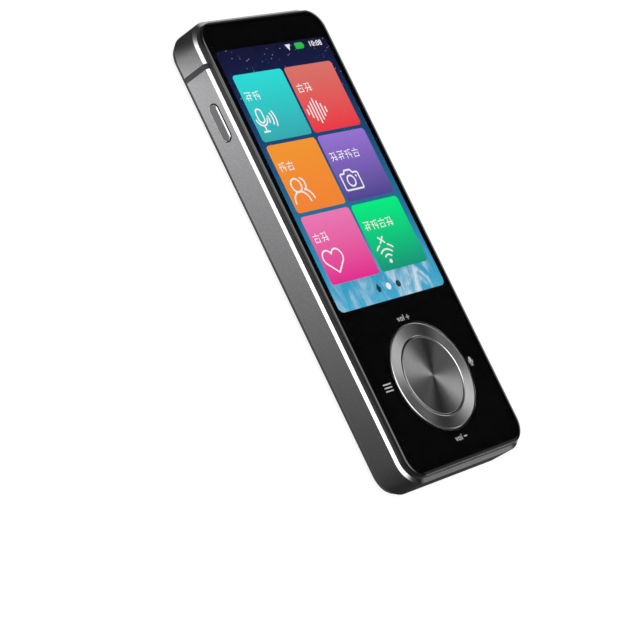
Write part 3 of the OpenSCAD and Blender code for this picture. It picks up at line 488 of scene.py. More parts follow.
def wallpaper_finish():
    """Night sky over pale water: stars at the upper end, bright wisps at the lower end"""
    tree, shader, place = start_finish("screen_wallpaper")
    x, y, _ = axes(tree, place)
    along = map_range(tree, y, SCREEN_LOW_Y * MM, SCREEN_HIGH_Y * MM)
    base = colour_ramp(tree, along, [
        (0.0, screen_colour(70, 178, 216)),
        (0.13, screen_colour(52, 158, 200)),
        (0.30, screen_colour(44, 122, 162)),
        (0.62, screen_colour(30, 76, 120)),
        (0.86, screen_colour(22, 34, 78)),
        (1.0, screen_colour(18, 19, 54)),
    ])

    # Wisps: stretched noise, stronger at the lower end and towards the right
    turn = tree.nodes.new("ShaderNodeMapping")
    turn.inputs["Rotation"].default_value = (0, 0, math.radians(-48))
    turn.inputs["Scale"].default_value = (1, 0.45, 1)
    tree.links.new(place, turn.inputs["Vector"])
    swirl = noise_node(tree, turn.outputs[0], 150.0, 7.0, 0.66)
    swirl.node.inputs["Distortion"].default_value = 1.4
    wisps = map_range(tree, swirl, 0.44, 0.66, smooth=True)
    low_end = map_range(tree, y, -14.0 * MM, -2.0 * MM, 1.0, 0.0, smooth=True)
    rightward = map_range(tree, x, -18.0 * MM, 10.0 * MM, 0.35, 1.0, smooth=True)
    wisps = math_node(tree, "MULTIPLY", wisps, math_node(tree, "MULTIPLY", low_end, rightward))
    water = blend(tree, wisps, base, screen_colour(225, 238, 246))

    # Stars: the middles of some cells, at the upper end
    cells = tree.nodes.new("ShaderNodeTexVoronoi")
    cells.inputs["Scale"].default_value = 1150.0
    tree.links.new(place, cells.inputs["Vector"])
    star = map_range(tree, cells.outputs["Distance"], 0.06, 0.15, 1.0, 0.0)
    pick = tree.nodes.new("ShaderNodeSeparateColor")
    tree.links.new(cells.outputs["Color"], pick.inputs[0])
    chosen = map_range(tree, pick.outputs[0], 0.50, 0.95)
    high_end = map_range(tree, y, 14.0 * MM, 36.0 * MM, smooth=True)
    star = math_node(tree, "MULTIPLY", math_node(tree, "MULTIPLY", star, chosen), high_end)
    sky = blend(tree, star, water, (1.1, 1.2, 1.35))

    # Black outside a rectangle with round corners; half_w and half_l reach to the middles of its corners
    mid_x, mid_y, half_w, half_l, corner_r = 0.2 * MM, 16.4 * MM, 18.2 * MM, 31.0 * MM, 1.6 * MM
    centred = vector_node(tree, "SUBTRACT", place, (mid_x, mid_y, 0))
    folded = vector_node(tree, "SUBTRACT", vector_node(tree, "ABSOLUTE", centred), (half_w, half_l, 1.0))
    outside = vector_node(tree, "LENGTH", vector_node(tree, "MAXIMUM", folded, (0, 0, 0)))
    beyond = math_node(tree, "GREATER_THAN", outside, corner_r)
    make_lit(tree, shader, blend(tree, beyond, sky, SCREEN_BLACK))
    return bpy.data.materials["screen_wallpaper"]


def lens_painted_reflection_finish():
    """Camera lens with a thin coating whose reflection is painted into its colour: a painted reflection that
    shifts from pink to green away from its middle
    """
    camera_y, lens_r = 46.5, 1.5
    tree, shader, place = start_finish("coated_lens")
    middle = vector_node(tree, "SUBTRACT", place, (0, camera_y * MM, 0))
    radius = vector_node(tree, "LENGTH", vector_node(tree, "MULTIPLY", middle, (1, 1, 0)))
    # Painted reflection of the coating: bright pink in the middle, then dark purple, green, and black at the
    # rim
    painted_coat_reflection = colour_ramp(tree, map_range(tree, radius, 0.2 * MM, lens_r * MM), [
        (0.0, (0.55, 0.16, 0.30)),
        (0.45, (0.22, 0.06, 0.22)),
        (0.75, (0.04, 0.16, 0.12)),
        (1.0, (0.01, 0.01, 0.02)),
    ])
    tree.links.new(painted_coat_reflection, shader.inputs["Base Color"])
    shader.inputs["Metallic"].default_value = 0.3
    shader.inputs["Roughness"].default_value = 0.06
    return bpy.data.materials["coated_lens"]


# ---------------------------------------------------------------- finishes of the CAD parts


def dress(finish, names):
    """Gives a finish to CAD nodes"""
    for name in names:
        for slot in nodes[name].material_slots:
            slot.material = finish


EDGE_BLACK = textured("glass_edge_black", (0.0016, 0.0016, 0.0018), 0.0, 0.03, FINE_GRAIN, 5000.0, 0.10, 0.0,
                      rough_spread=0.01, IOR=1.75)
COVER_GLASS = glass_finish("cover_glass_clear", (1, 1, 1))
RING_METAL = turned_metal("ring_turned_metal", (0.62, 0.62, 0.625), (0.78, 0.78, 0.785), roughness=0.30,
                          fineness=7000.0, depth=0.002, bright_edges=True)
KEY_METAL = turned_metal("key_turned_metal", (0.38, 0.38, 0.385), (0.52, 0.52, 0.525), roughness=0.30,
                         fineness=5500.0, depth=0.0025, bright_edges=False)
SIDE_KEY_METAL = blasted_metal("side_key_satin", (0.080, 0.080, 0.082), (0.112, 0.112, 0.114),
                               lean=(0.25, 0.97), roughness=0.32, fineness=7000.0, depth=0.004)
FRAME_METAL = blasted_metal("blasted_frame_metal", (0.150, 0.150, 0.154), (0.288, 0.288, 0.293),
                            lean=(0.2, 0.962), roughness=0.40, fineness=4400.0, depth=0.016)
BAND_PLASTIC = textured("band_plastic_grain", (0.018, 0.018, 0.019), 0.0, 0.42, FINE_GRAIN, 7000.0,
                        Specular_IOR_Level=0.30)
BEZEL_PLASTIC = textured("bezel_satin", (0.010, 0.010, 0.011), 0.0, 0.42, FINE_GRAIN, 8000.0, 0.10, 0.002,
                         Specular_IOR_Level=0.38)
FILM_BLACK = textured("black_film", (0.0032, 0.0032, 0.0034), 0.0, 0.35, FINE_GRAIN, 5000.0, 0.10, 0.001,
                      Specular_IOR_Level=0.0)

# Name, colour, metallic, roughness, effect, fineness, spread of the tone, depth in mm, and the CAD nodes
PLAIN_FINISHES = [
    ("camera_matt_black", (0.010, 0.010, 0.011), 0.0, 0.38, FINE_GRAIN, 9000.0, 0.15, 0.002,
     ["camera_module", "camera_shroud"]),
    ("led_cream", (0.92, 0.84, 0.62), 0.0, 0.45, FINE_GRAIN, 12000.0, 0.08, 0.004, ["flash_led"]),
    ("plate_rolled_steel", (0.48, 0.49, 0.50), 1.0, 0.34, ROLLED_STREAKS, 3000.0, 0.12, 0.004, ["mid_plate"]),
    ("shield_tinned", (0.62, 0.63, 0.64), 1.0, 0.28, ROLLED_STREAKS, 4000.0, 0.08, 0.002,
     ["processor_shield", "radio_shield", "side_switch"]),
    ("spring_steel", (0.60, 0.60, 0.62), 1.0, 0.25, ROLLED_STREAKS, 5000.0, 0.08, 0.002,
     ["ring_web", "key_domes"]),
    ("screw_steel", (0.50, 0.50, 0.52), 1.0, 0.30, FINE_GRAIN, 6000.0, 0.12, 0.003,
     ["frame_screws", "board_screws"]),
    ("port_drawn_steel", (0.60, 0.61, 0.63), 1.0, 0.26, ROLLED_STREAKS, 6000.0, 0.08, 0.002, ["usb_port"]),
    ("microphone_can", (0.66, 0.58, 0.38), 1.0, 0.32, FINE_GRAIN, 7000.0, 0.08, 0.002, ["microphone"]),
    ("driver_plated_steel", (0.34, 0.34, 0.36), 1.0, 0.36, FINE_GRAIN, 4000.0, 0.12, 0.003,
     ["speaker_driver"]),
    ("key_base_plastic", (0.035, 0.035, 0.038), 0.0, 0.48, FINE_GRAIN, 6000.0, 0.15, 0.004,
     ["key_base", "usb_tongue"]),
    ("speaker_box_plastic", (0.028, 0.028, 0.030), 0.0, 0.50, FINE_GRAIN, 5000.0, 0.15, 0.005,
     ["speaker_box"]),
    ("carrier_plastic", (0.66, 0.65, 0.61), 0.0, 0.50, FINE_GRAIN, 5000.0, 0.06, 0.004, ["antenna_carrier"]),
    ("speaker_mesh_weave", (0.012, 0.012, 0.012), 0.0, 0.80, FINE_GRAIN, 14000.0, 0.40, 0.020,
     ["speaker_mesh"]),
    ("seal_rubber", (0.018, 0.018, 0.018), 0.0, 0.70, FINE_GRAIN, 5000.0, 0.20, 0.006, ["microphone_gasket"]),
    ("board_solder_mask", (0.012, 0.085, 0.050), 0.0, 0.34, ROLLED_STREAKS, 2500.0, 0.30, 0.004,
     ["key_board", "main_board", "battery_circuit"]),
    ("chip_epoxy", (0.016, 0.016, 0.017), 0.0, 0.50, FINE_GRAIN, 9000.0, 0.20, 0.003,
     ["processor_chip", "radio_chip"]),
    ("battery_foil", (0.10, 0.105, 0.115), 0.6, 0.42, FINE_GRAIN, 1500.0, 0.12, 0.010, ["battery"]),
    ("tape_backing", (0.74, 0.73, 0.68), 0.0, 0.60, ROLLED_STREAKS, 2000.0, 0.05, 0.003, ["battery_tape"]),
    ("cable_film_amber", (0.52, 0.24, 0.05), 0.0, 0.36, ROLLED_STREAKS, 5000.0, 0.20, 0.003,
     ["display_flex", "key_flex", "side_switch_flex", "battery_flex", "camera_flex", "antenna_flex"]),
    ("backlight_diffuser", (0.70, 0.71, 0.73), 0.0, 0.55, FINE_GRAIN, 4000.0, 0.05, 0.002, ["backlight"]),
]


def dress_nodes():
    dress(FRAME_METAL, ["main_housing", "top_cap"])
    dress(BAND_PLASTIC, ["antenna_band"])
    dress(BEZEL_PLASTIC, ["front_bezel"])
    dress(COVER_GLASS, ["cover_glass"])
    dress(FILM_BLACK, ["screen_mask"])
    dress(wallpaper_finish(), ["display_panel"])
    dress(SIDE_KEY_METAL, ["side_button"])
    dress(lens_painted_reflection_finish(), ["camera_lens"])
    dress(glass_finish("window_glass_clear", (0.96, 0.98, 0.98), 120.0), ["camera_window", "flash_window"])
    for *look, names in PLAIN_FINISHES:
        dress(textured(*look), names)


# ---------------------------------------------------------------- flat graphics


def close_plate(shape, low, high):
    """Gives the flat faces of a bmesh their thickness, from height low to high in mm"""
    faces = shape.faces[:]
    grown = bmesh.ops.extrude_face_region(shape, geom=faces, use_keep_orig=True)
    lifted = [v for v in grown["geom"] if isinstance(v, bmesh.types.BMVert)]
    bmesh.ops.translate(shape, vec=(0, 0, high - low), verts=lifted)
    bmesh.ops.translate(shape, vec=(0, 0, low), verts=shape.verts[:])
    bmesh.ops.recalc_face_normals(shape, faces=shape.faces[:])


def plate(w, l, r, x, y, turn=0.0, steps=6):
    """Flat rectangle with round corners, centred at x, y and turned by degrees"""
    least = 1e-4
    shape = bmesh.new()
    bmesh.ops.create_grid(shape, x_segments=1, y_segments=1, size=0.5)
    bmesh.ops.scale(shape, vec=(w, l, 1), verts=shape.verts[:])
    bmesh.ops.bevel(shape, geom=shape.verts[:], offset=min(r, w / 2 - least, l / 2 - least),
                    offset_type="OFFSET", segments=steps, profile=0.5, affect="VERTICES", material=-1)
    place_shape(shape, x, y, turn)
    return shape


def place_shape(shape, x, y, turn=0.0):
    """Turns a shape by degrees and moves it to x, y"""
    turned = Matrix.Rotation(math.radians(turn), 3, "Z")
    bmesh.ops.rotate(shape, cent=(0, 0, 0), matrix=turned, verts=shape.verts[:])
    bmesh.ops.translate(shape, vec=(x, y, 0), verts=shape.verts[:])


def bar(x0, y0, x1, y1, w):
    """Straight stroke with round ends"""
    reach = math.hypot(x1 - x0, y1 - y0)
    turn = math.degrees(math.atan2(y1 - y0, x1 - x0))
    return plate(reach + w, w, w / 2, (x0 + x1) / 2, (y0 + y1) / 2, turn, 5)


def strokes(w, *ends):
    """Straight strokes, each from its x0, y0 to its x1, y1"""
    return [bar(*one, w) for one in ends]


def arc(x, y, r, start, end, w):
    """Curved stroke of radius r round x, y, from one angle in degrees to another"""
    shape = bmesh.new()
    ends = [shape.verts.new((r - w / 2, 0, 0)), shape.verts.new((r + w / 2, 0, 0))]
    edge = shape.edges.new(ends)
    whole = abs(end - start) >= 360
    bmesh.ops.spin(shape, geom=[*ends, edge], cent=(0, 0, 0), axis=(0, 0, 1), dvec=(0, 0, 0),
                   angle=math.radians(end - start), steps=max(6, int(abs(end - start) / 9)), use_merge=whole)
    bmesh.ops.remove_doubles(shape, verts=shape.verts[:], dist=1e-6)
    place_shape(shape, x, y, start)
    if not whole:
        for way in (math.radians(start), math.radians(end)):
            join(shape, disc(x + r * math.cos(way), y + r * math.sin(way), w / 2, 12))
    return shape


def disc(x, y, r, sides=32):
    """Flat disc centred at x, y"""
    shape = bmesh.new()
    bmesh.ops.create_circle(shape, cap_ends=True, radius=r, segments=sides)
    place_shape(shape, x, y)
    return shape


def join(shape, other):
    """Adds another bmesh to this one"""
    keep = bpy.data.meshes.new("joined")
    other.to_mesh(keep)
    other.free()
    shape.from_mesh(keep)
    bpy.data.meshes.remove(keep)


def flat_piece(name, shapes, low, high, finish, body="frame"):
    """One piece from flat shapes, from height low to high in mm"""
    whole = bmesh.new()
    for shape in shapes:
        close_plate(shape, low, high)
        join(whole, shape)
    bmesh.ops.scale(whole, vec=(MM, MM, MM), verts=whole.verts[:])
    mesh = bpy.data.meshes.new(name)
    whole.to_mesh(mesh)
    whole.free()
    piece = new_object(name, mesh)
    mesh.materials.append(finish)
    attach(piece, body)
    return piece


LEFT_X, RIGHT_X = -9.10, 9.16
ROWS_Y = (34.30, 16.55, -1.25)
TILE_W, TILE_L, TILE_R = 17.45, 16.85, 0.95
TILES = [
    ("teal", LEFT_X, ROWS_Y[0], (58, 178, 186), (46, 232, 226)),
    ("red", RIGHT_X, ROWS_Y[0], (247, 60, 74), (228, 122, 112)),
    ("orange", LEFT_X, ROWS_Y[1], (255, 138, 56), (255, 158, 52)),
    ("purple", RIGHT_X, ROWS_Y[1], (84, 74, 150), (158, 122, 222)),
    ("pink", LEFT_X, ROWS_Y[2], (238, 46, 148), (246, 128, 188)),
    ("green", RIGHT_X, ROWS_Y[2], (24, 156, 126), (2, 250, 136)),
]


def add_tiles():
    for name, x, y, low, high in TILES:
        finish = glow_finish(f"tile_{name}_glow", screen_colour(*low), screen_colour(*high),
                             y - TILE_L / 2, y + TILE_L / 2)
        shape = plate(TILE_W, TILE_L, TILE_R, x, y, 0, 8)
        flat_piece(f"tile_{name}", [shape], TILE_LOW, TILE_HIGH, finish)


ICON_STROKE = 0.42


def microphone_icon(x, y):
    """Microphone on its stand, with sound waves at its right"""
    w = ICON_STROKE
    left, right, head_r, upper, lower = x - 0.99, x + 0.99, 0.99, y + 0.72, y - 0.72
    cradle_y, cradle_r = y - 0.56, 1.87
    foot_y, foot_half = y - 3.95, 0.95
    wave_x, wave_y = x + 0.92, y - 1.10
    return [
        arc(x, upper, head_r, 0, 180, w),
        arc(x, lower, head_r, 180, 360, w),
        *strokes(w, (left, upper, left, lower), (right, upper, right, lower)),
        arc(x, cradle_y, cradle_r, 190, 350, w),
        *strokes(w, (x, y - 2.45, x, foot_y), (x - foot_half, foot_y, x + foot_half, foot_y)),
        arc(wave_x, wave_y, 1.60, -30, 30, w),
        arc(wave_x, wave_y, 2.80, -29, 29, w),
        arc(wave_x, wave_y, 3.85, -28, 28, w),
    ]


def level_icon(x, y):
    """Row of upright strokes, longest in the middle"""
    lengths = (1.6, 3.4, 5.0, 6.5, 5.0, 3.4, 1.6)
    pitch = 1.08
    w = ICON_STROKE
    return [plate(w, tall, w / 2, x + (i - 3) * pitch, y, 0, 5) for i, tall in enumerate(lengths)]


def people_icon(x, y):
    """Head and shoulders, with a second one behind them at the right"""
    w = ICON_STROKE
    return [
        arc(x, y, 1.64, 0, 360, w),
        arc(x, y - 4.2, 2.64, 0, 180, w),
        arc(x + 1.65, y + 0.1, 1.53, -72, 72, w),
        arc(x + 1.3, y - 4.0, 2.95, 6, 62, w),
    ]


def camera_icon(x, y):
    """Camera from the front: body with round corners, hump, lens and a dot"""
    w = ICON_STROKE
    side, tall, corner = 3.20, 2.05, 0.45
    foot_l, foot_r, top_l, top_r, hump = x - 1.65, x + 1.45, x - 1.15, x + 0.95, y + 2.82
    shapes = strokes(
        w,
        (x - side, y + tall - corner, x - side, y - tall + corner),
        (x + side, y + tall - corner, x + side, y - tall + corner),
        (x - side + corner, y - tall, x + side - corner, y - tall),
        (x - side + corner, y + tall, foot_l, y + tall),
        (foot_r, y + tall, x + side - corner, y + tall),
        (foot_l, y + tall, top_l, hump),
        (foot_r, y + tall, top_r, hump),
        (top_l, hump, top_r, hump),
    )
    shapes += [arc(x - 0.1, y + 0.1, 1.33, 0, 360, w), disc(x + 2.2, y + 1.1, 0.27, 12)]
    for across, along, start in ((-1, -1, 180), (1, -1, 270), (1, 1, 0), (-1, 1, 90)):
        at = x + across * (side - corner), y + along * (tall - corner)
        shapes.append(arc(*at, corner, start, start + 90, w))
    return shapes


def heart_icon(x, y):
    """Heart from two arcs and two straight strokes to its foot"""
    w = ICON_STROKE
    return [
        arc(x - 1.62, y + 1.03, 1.79, 25, 229, w),
        arc(x + 1.62, y + 1.03, 1.79, -49, 155, w),
        *strokes(w, (x - 2.79, y - 0.32, x, y - 2.75), (x + 2.79, y - 0.32, x, y - 2.75)),
    ]


def no_signal_icon(x, y):
    """Dot with rings of waves over it, the last one broken by a cross"""
    w = ICON_STROKE
    left, right, low, high = x - 0.75, x + 0.85, y + 4.6, y + 6.0
    return [
        disc(x, y, 0.52, 20),
        arc(x, y, 1.65, 47, 133, w),
        arc(x, y, 2.98, 47, 133, w),
        arc(x, y, 4.28, 47, 70, w),
        arc(x, y, 4.28, 110, 133, w),
        *strokes(w, (left, low, right, high), (left, high, right, low)),
    ]


# Made-up signs, each a list of strokes from x0, y0 to x1, y1 in a unit square
SIGN_STROKES = [
    [
        (0.05, 0.95, 0.95, 0.95), (0.25, 0.62, 1.0, 0.62), (0.0, 0.30, 0.7, 0.30), (0.30, 0.0, 0.30, 0.62),
        (0.75, 0.05, 0.75, 0.95),
    ],
    [
        (0.0, 0.85, 0.4, 0.85), (0.0, 0.5, 0.4, 0.5), (0.2, 0.0, 0.2, 0.85), (0.6, 0.95, 1.0, 0.95),
        (0.6, 0.35, 1.0, 0.35), (0.6, 0.35, 0.6, 0.95), (0.85, 0.0, 0.85, 0.6),
    ],
    [
        (0.5, 0.75, 0.5, 1.0), (0.0, 0.75, 1.0, 0.75), (0.1, 0.45, 0.6, 0.45), (0.15, 0.0, 0.15, 0.45),
        (0.15, 0.05, 0.9, 0.05), (0.85, 0.05, 0.85, 0.5),
    ],
    [
        (0.0, 0.9, 0.6, 0.9), (0.3, 0.4, 0.3, 0.9), (0.0, 0.4, 1.0, 0.4), (0.1, 0.0, 0.45, 0.4),
        (0.8, 0.0, 0.8, 1.0), (0.6, 0.15, 1.0, 0.15),
    ],
]


def sign_row(x, y, count, first):
    """Row of made-up stroke signs that stand for a caption; they spell nothing"""
    size, pitch, margin, w = 2.15, 2.75, 0.15, 0.21
    shapes = []
    for i in range(count):
        left, low = x + i * pitch + margin, y - size / 2
        for x0, y0, x1, y1 in SIGN_STROKES[(first + i) % len(SIGN_STROKES)]:
            shapes.append(bar(left + x0 * size, low + y0 * size, left + x1 * size, low + y1 * size, w))
    return shapes


def add_icons():
    white = glow_finish("icon_white_glow", (0.90, 0.92, 0.94), (0.97, 0.98, 1.0), -10, 45)
    icons = [
        ("microphone", microphone_icon(LEFT_X - 5.78, ROWS_Y[0] - 2.07)),
        ("levels", level_icon(RIGHT_X - 4.29, ROWS_Y[0] - 3.20)),
        ("people", people_icon(LEFT_X - 4.92, ROWS_Y[1] - 1.93)),
        ("camera", camera_icon(RIGHT_X - 4.05, ROWS_Y[1] - 3.68)),
        ("heart", heart_icon(LEFT_X - 4.26, ROWS_Y[2] - 3.12)),
        ("no_signal", no_signal_icon(RIGHT_X - 3.98, ROWS_Y[2] - 6.34)),
    ]
    for name, shapes in icons:
        flat_piece(f"icon_{name}", shapes, ICON_LOW, ICON_HIGH, white)
    captions = []
    caption_rise = 2.9
    for row, (left_count, right_count) in enumerate(((2, 2), (2, 4), (2, 4))):
        y = ROWS_Y[row] + caption_rise
        captions += sign_row(LEFT_X - 7.75, y, left_count, row)
        captions += sign_row(RIGHT_X - 7.55, y, right_count, row + 2)
    flat_piece("tile_captions", captions, ICON_LOW, ICON_HIGH, white)


def add_words(name, words, size, x, y, low, high, finish):
    """Flat lettering centred at x, y, from height low to high in mm"""
    letters = bpy.data.curves.new(name, "FONT")
    letters.body = words
    letters.size = size * MM
    letters.offset = 0.015 * size * MM
    letters.space_character = 1.12
    letters.align_x = letters.align_y = "CENTER"
    letters.extrude = (high - low) / 2 * MM
    text = new_object(f"{name}_text", letters)
    mesh = bpy.data.meshes.new_from_object(text)
    bpy.data.objects.remove(text)
    mesh.transform(Matrix.Translation((x * MM, y * MM, (low + high) / 2 * MM)))
    mesh.materials.clear()
    mesh.materials.append(finish)
    piece = new_object(name, mesh)
    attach(piece, "frame")


def triangle(x, y, r, turn=0.0):
    """Flat triangle in a circle of radius r round x, y"""
    shape = bmesh.new()
    bmesh.ops.create_circle(shape, cap_ends=True, radius=r, segments=3)
    place_shape(shape, x, y, turn)
    return shape


WORD_SIZE = 1.95


def add_status_bar():
    """Signal, battery and clock at the upper end of the screen"""
    white = bpy.data.materials["icon_white_glow"]
    green = glow_finish("battery_green_glow", screen_colour(40, 185, 70), screen_colour(60, 205, 85), 46, 49)
    y = 47.55
    flat_piece("status_signal", [triangle(5.58, y + 0.2, 1.05, 180)], TILE_LOW, TILE_HIGH, white)
    cell = [plate(2.9, 1.6, 0.25, 9.5, y), plate(0.3, 0.8, 0.1, 11.1, y)]
    flat_piece("status_battery", cell, TILE_LOW, TILE_HIGH, green)
    add_words("status_clock", "10:08", WORD_SIZE, 15.48, y, TILE_LOW, TILE_HIGH, white)


def add_page_dots():
    """Row of page marks at the lower end of the screen: a house, the page in view and the next one"""
    white = bpy.data.materials["icon_white_glow"]
    dark = glow_finish("page_dark_glow", screen_colour(38, 52, 66), screen_colour(48, 62, 76), -14, -12)
    y, home_x = -13.07, -3.40
    house = [triangle(home_x, y + 0.35, 1.0), plate(1.15, 0.95, 0.08, home_x, y - 0.35)]
    for name, shapes, finish in (
        ("page_dot_now", [disc(0.26, y, 0.85)], white),
        ("page_dot_next", [disc(3.91, y, 0.82)], dark),
        ("page_home", house, dark),
    ):
        flat_piece(name, shapes, TILE_LOW, TILE_HIGH, finish)


def add_glass_marks():
    """White marks round the key ring, printed behind the glass"""
    ink = textured("mark_white_ink", (0.86, 0.86, 0.86), 0.0, 0.5, FINE_GRAIN, 9000.0, 0.04, 0.001)
    broad, fine, thin = 0.32, 0.24, 0.2
    plus_x, plus_y, plus_half = 1.43, -21.07, 0.53
    minus_y = -50.81
    menu_y, menu_pitch = -35.13, 0.80
    mic_x, mic_y, stand_y = 15.5, -34.75, -36.15
    marks = {
        "mark_plus": strokes(fine, (plus_x - plus_half, plus_y, plus_x + plus_half, plus_y),
                             (plus_x, plus_y - plus_half, plus_x, plus_y + plus_half)),
        "mark_minus": [bar(1.10, minus_y, 2.0, minus_y, broad)],
        "mark_menu": [bar(-17.14, menu_y + i * menu_pitch, -14.63, menu_y + i * menu_pitch, broad)
                      for i in (-1, 0, 1)],
        "mark_microphone": [
            plate(0.86, 1.4, 0.43, mic_x, mic_y, 0, 8),
            arc(mic_x, mic_y - 0.2, 0.78, 180, 360, thin),
            bar(mic_x, mic_y - 1.0, mic_x, stand_y, 0.22),
            bar(mic_x - 0.38, stand_y, mic_x + 0.38, stand_y, thin),
        ],
    }
    for name, shapes in marks.items():
        flat_piece(name, shapes, PRINT_LOW, PRINT_HIGH, ink)
    add_words("mark_louder", "vol", WORD_SIZE, -1.10, -21.05, PRINT_LOW, PRINT_HIGH, ink)
    add_words("mark_softer", "vol", WORD_SIZE, -0.95, -50.79, PRINT_LOW, PRINT_HIGH, ink)


# ---------------------------------------------------------------- solid pieces


def finish_piece(name, shape, finish, body):
    """Piece from a bmesh in mm, with its flat faces kept flat and its curved ones smooth"""
    smooth_under = 35
    bmesh.ops.scale(shape, vec=(MM, MM, MM), verts=shape.verts[:])
    mesh = bpy.data.meshes.new(name)
    shape.to_mesh(mesh)
    shape.free()
    mesh.shade_smooth()
    mesh.set_sharp_from_angle(angle=math.radians(smooth_under))
    for face in mesh.polygons:
        face.use_smooth = abs(face.normal.z) < 0.9999
    mesh.materials.append(finish)
    piece = new_object(name, mesh)
    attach(piece, body)
    return piece


def is_level(part, z):
    """Whether an edge or face lies at height z all over"""
    return all(abs(v.co.z - z) < LEVEL for v in part.verts)


def top_edges(shape, z):
    return [e for e in shape.edges if is_level(e, z)]


def from_axis(vert, y=0.0):
    """Distance of a point from the upright axis through 0, y"""
    return math.hypot(vert.co.x, vert.co.y - y)


def round_edges(shape, edges, wide, deep, steps):
    """Rounds level edges, wide across and deep down: stretched upwards, rounded evenly and pressed back"""
    stretch = wide / deep
    bmesh.ops.scale(shape, vec=(1, 1, stretch), verts=shape.verts[:])
    bmesh.ops.bevel(shape, geom=edges, offset=wide, offset_type="OFFSET", segments=steps, profile=0.5,
                    affect="EDGES", material=-1, clamp_overlap=True)
    bmesh.ops.scale(shape, vec=(1, 1, 1 / stretch), verts=shape.verts[:])


def cut_hole(shape, x, y, r, z0, z1, sides):
    """Takes a round hole out of a closed bmesh"""
    drill = bmesh.new()
    bmesh.ops.create_cone(drill, cap_ends=True, radius1=r, radius2=r, depth=z1 - z0, segments=sides)
    bmesh.ops.translate(drill, vec=(x, y, (z0 + z1) / 2), verts=drill.verts[:])
    meshes = []
    objects = []
    for label, source in (("drilled", shape), ("drill", drill)):
        mesh = bpy.data.meshes.new(label)
        source.to_mesh(mesh)
        meshes.append(mesh)
        objects.append(new_object(label, mesh))
    drill.free()
    cut = objects[0].modifiers.new("hole", "BOOLEAN")
    cut.operation = "DIFFERENCE"
    cut.solver = "EXACT"
    cut.object = objects[1]
    ready = objects[0].evaluated_get(bpy.context.evaluated_depsgraph_get())
    result = bpy.data.meshes.new_from_object(ready)
    shape.clear()
    shape.from_mesh(result)
    for thing in objects:
        bpy.data.objects.remove(thing)
    for mesh in (*meshes, result):
        bpy.data.meshes.remove(mesh)


def add_cover_pane():
    """Cover glass that rolls off low and wide all round, blackened on the roll and in the key ring's hole"""
    glass_w, glass_l, corner_r = 43.7, 112.2, 5.05
    roll_wide, roll_deep = 1.40, 0.30
    hole_r = 13.22
    black_from, black_to = GLASS_LOW + 0.01, GLASS_TOP - 0.012
    pane = plate(glass_w, glass_l, corner_r, 0, 0, 0, 20)
    close_plate(pane, GLASS_LOW, GLASS_TOP)
    round_edges(pane, top_edges(pane, GLASS_TOP), roll_wide, roll_deep, 12)
    crown = [f for f in pane.faces if is_level(f, GLASS_TOP)]
    bmesh.ops.inset_region(pane, faces=crown, thickness=0.05, depth=0)
    cut_hole(pane, 0, RING_Y, hole_r, GLASS_LOW - 1, GLASS_TOP + 1, 160)
    rim = [e for e in top_edges(pane, GLASS_TOP)
           if all(abs(from_axis(v, RING_Y) - hole_r) < 0.01 for v in e.verts)]
    round_edges(pane, rim, 0.08, 0.08, 2)
    for face in pane.faces:
        face.material_index = 1 if black_from < face.calc_center_median().z < black_to else 0
    piece = finish_piece("cover_pane", pane, COVER_GLASS, "frame")
    piece.data.materials.append(EDGE_BLACK)
    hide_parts("cover_glass")


def legs_of(name, top):
    """What a CAD part has below a height, in mm, closed there and lapping a little into what stands on it"""
    cut_under, lap = 0.002, 0.01
    legs = bmesh.new()
    legs.from_mesh(nodes[name].data)
    bmesh.ops.remove_doubles(legs, verts=legs.verts[:], dist=1e-7)
    bmesh.ops.scale(legs, vec=(1 / MM, 1 / MM, 1 / MM), verts=legs.verts[:])
    cut = bmesh.ops.bisect_plane(legs, geom=[*legs.verts, *legs.edges, *legs.faces], dist=1e-5,
                                 plane_co=(0, 0, top - cut_under), plane_no=(0, 0, 1), clear_outer=True)
    bmesh.ops.holes_fill(legs, edges=[e for e in cut["geom_cut"] if isinstance(e, bmesh.types.BMEdge)])
    bmesh.ops.translate(legs, vec=(0, 0, lap), verts=[v for v in legs.verts if v.co.z > top - lap])
    return legs


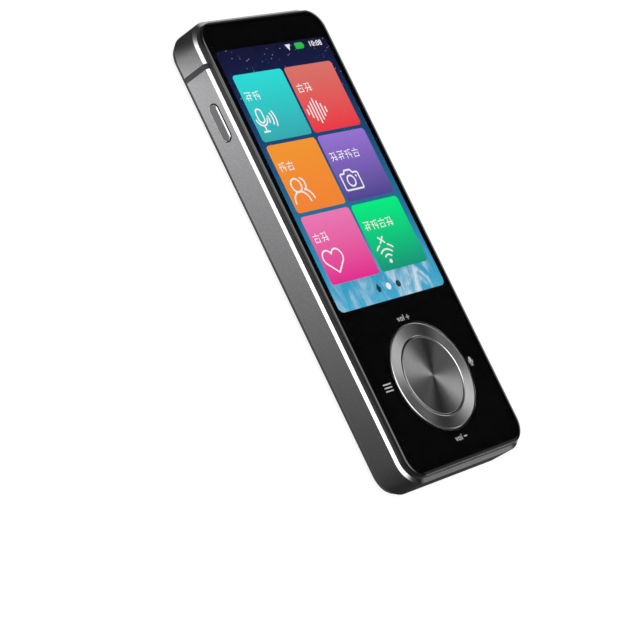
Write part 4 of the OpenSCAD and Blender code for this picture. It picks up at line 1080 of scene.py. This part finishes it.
def add_key_ring():
    """Key ring turned from its section, with softly rolled bright edges, on the CAD part's lugs and nibs"""
    ring = bmesh.new()
    corners = [ring.verts.new((r, 0, z)) for r, z in
               ((RING_IN_R, KEYS_LOW), (RING_OUT_R, KEYS_LOW), (RING_OUT_R, KEYS_TOP), (RING_IN_R, KEYS_TOP))]
    section = ring.faces.new(corners)
    edges = section.edges[:]
    bmesh.ops.delete(ring, geom=[section], context="FACES_ONLY")
    bmesh.ops.spin(ring, geom=[*corners, *edges], cent=(0, 0, 0), axis=(0, 0, 1), dvec=(0, 0, 0),
                   angle=math.tau, steps=128, use_merge=True)
    bmesh.ops.recalc_face_normals(ring, faces=ring.faces[:])
    rims = [e for e in top_edges(ring, KEYS_TOP)
            if abs(from_axis(e.verts[0]) - from_axis(e.verts[1])) < 1e-3]
    round_edges(ring, rims, 0.34, 0.20, 6)
    place_shape(ring, 0, RING_Y)
    join(ring, legs_of("navigation_ring", KEYS_LOW))
    piece = finish_piece("key_ring", ring, RING_METAL, "ring")
    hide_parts("navigation_ring")


def add_centre_key():
    """Round key with a softened edge, on the post and pegs of the CAD part"""
    key = disc(0, RING_Y, CENTRE_KEY_R, 128)
    close_plate(key, KEYS_LOW, KEYS_TOP)
    round_edges(key, top_edges(key, KEYS_TOP), 0.12, 0.12, 3)
    join(key, legs_of("centre_button", KEYS_LOW))
    piece = finish_piece("centre_key", key, KEY_METAL, "centre_key")
    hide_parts("centre_button")


def add_side_key():
    """Long key on the left wall, with a bright rounded edge, its flange behind the wall and its nib. It is
    built lying on its back, and stood up with its top towards -X and its length along Y."""
    key_l, key_w, key_h = 9.1, 2.5, 1.95
    flange_l, flange_w, nib_r = 10.3, 3.7, 0.6
    wall_x, key_y, key_z = -21.45, 33.9, 5.6
    key = plate(key_l, key_w, key_w / 2, 0, 0, 0, 12)
    bmesh.ops.remove_doubles(key, verts=key.verts[:], dist=0.001)
    close_plate(key, 0, key_h)
    round_edges(key, top_edges(key, key_h), 0.30, 0.30, 6)
    flange = plate(flange_l, flange_w, flange_w / 2, 0, 0, 0, 10)
    close_plate(flange, -0.55, 0.05)
    nib = disc(0, 0, nib_r, 24)
    close_plate(nib, -0.95, -0.5)
    join(key, flange)
    join(key, nib)
    stand = Matrix(((0, 0, -1), (1, 0, 0), (0, -1, 0)))
    bmesh.ops.rotate(key, cent=(0, 0, 0), matrix=stand, verts=key.verts[:])
    bmesh.ops.translate(key, vec=(wall_x, key_y, key_z), verts=key.verts[:])
    piece = finish_piece("side_key", key, SIDE_KEY_METAL, "side_key")
    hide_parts("side_button")


# ---------------------------------------------------------------- make the scene

set_camera()
set_studio()
add_floor()
dress_nodes()
add_tiles()
add_icons()
add_status_bar()
add_page_dots()
add_glass_marks()
add_cover_pane()
add_key_ring()
add_centre_key()
add_side_key()
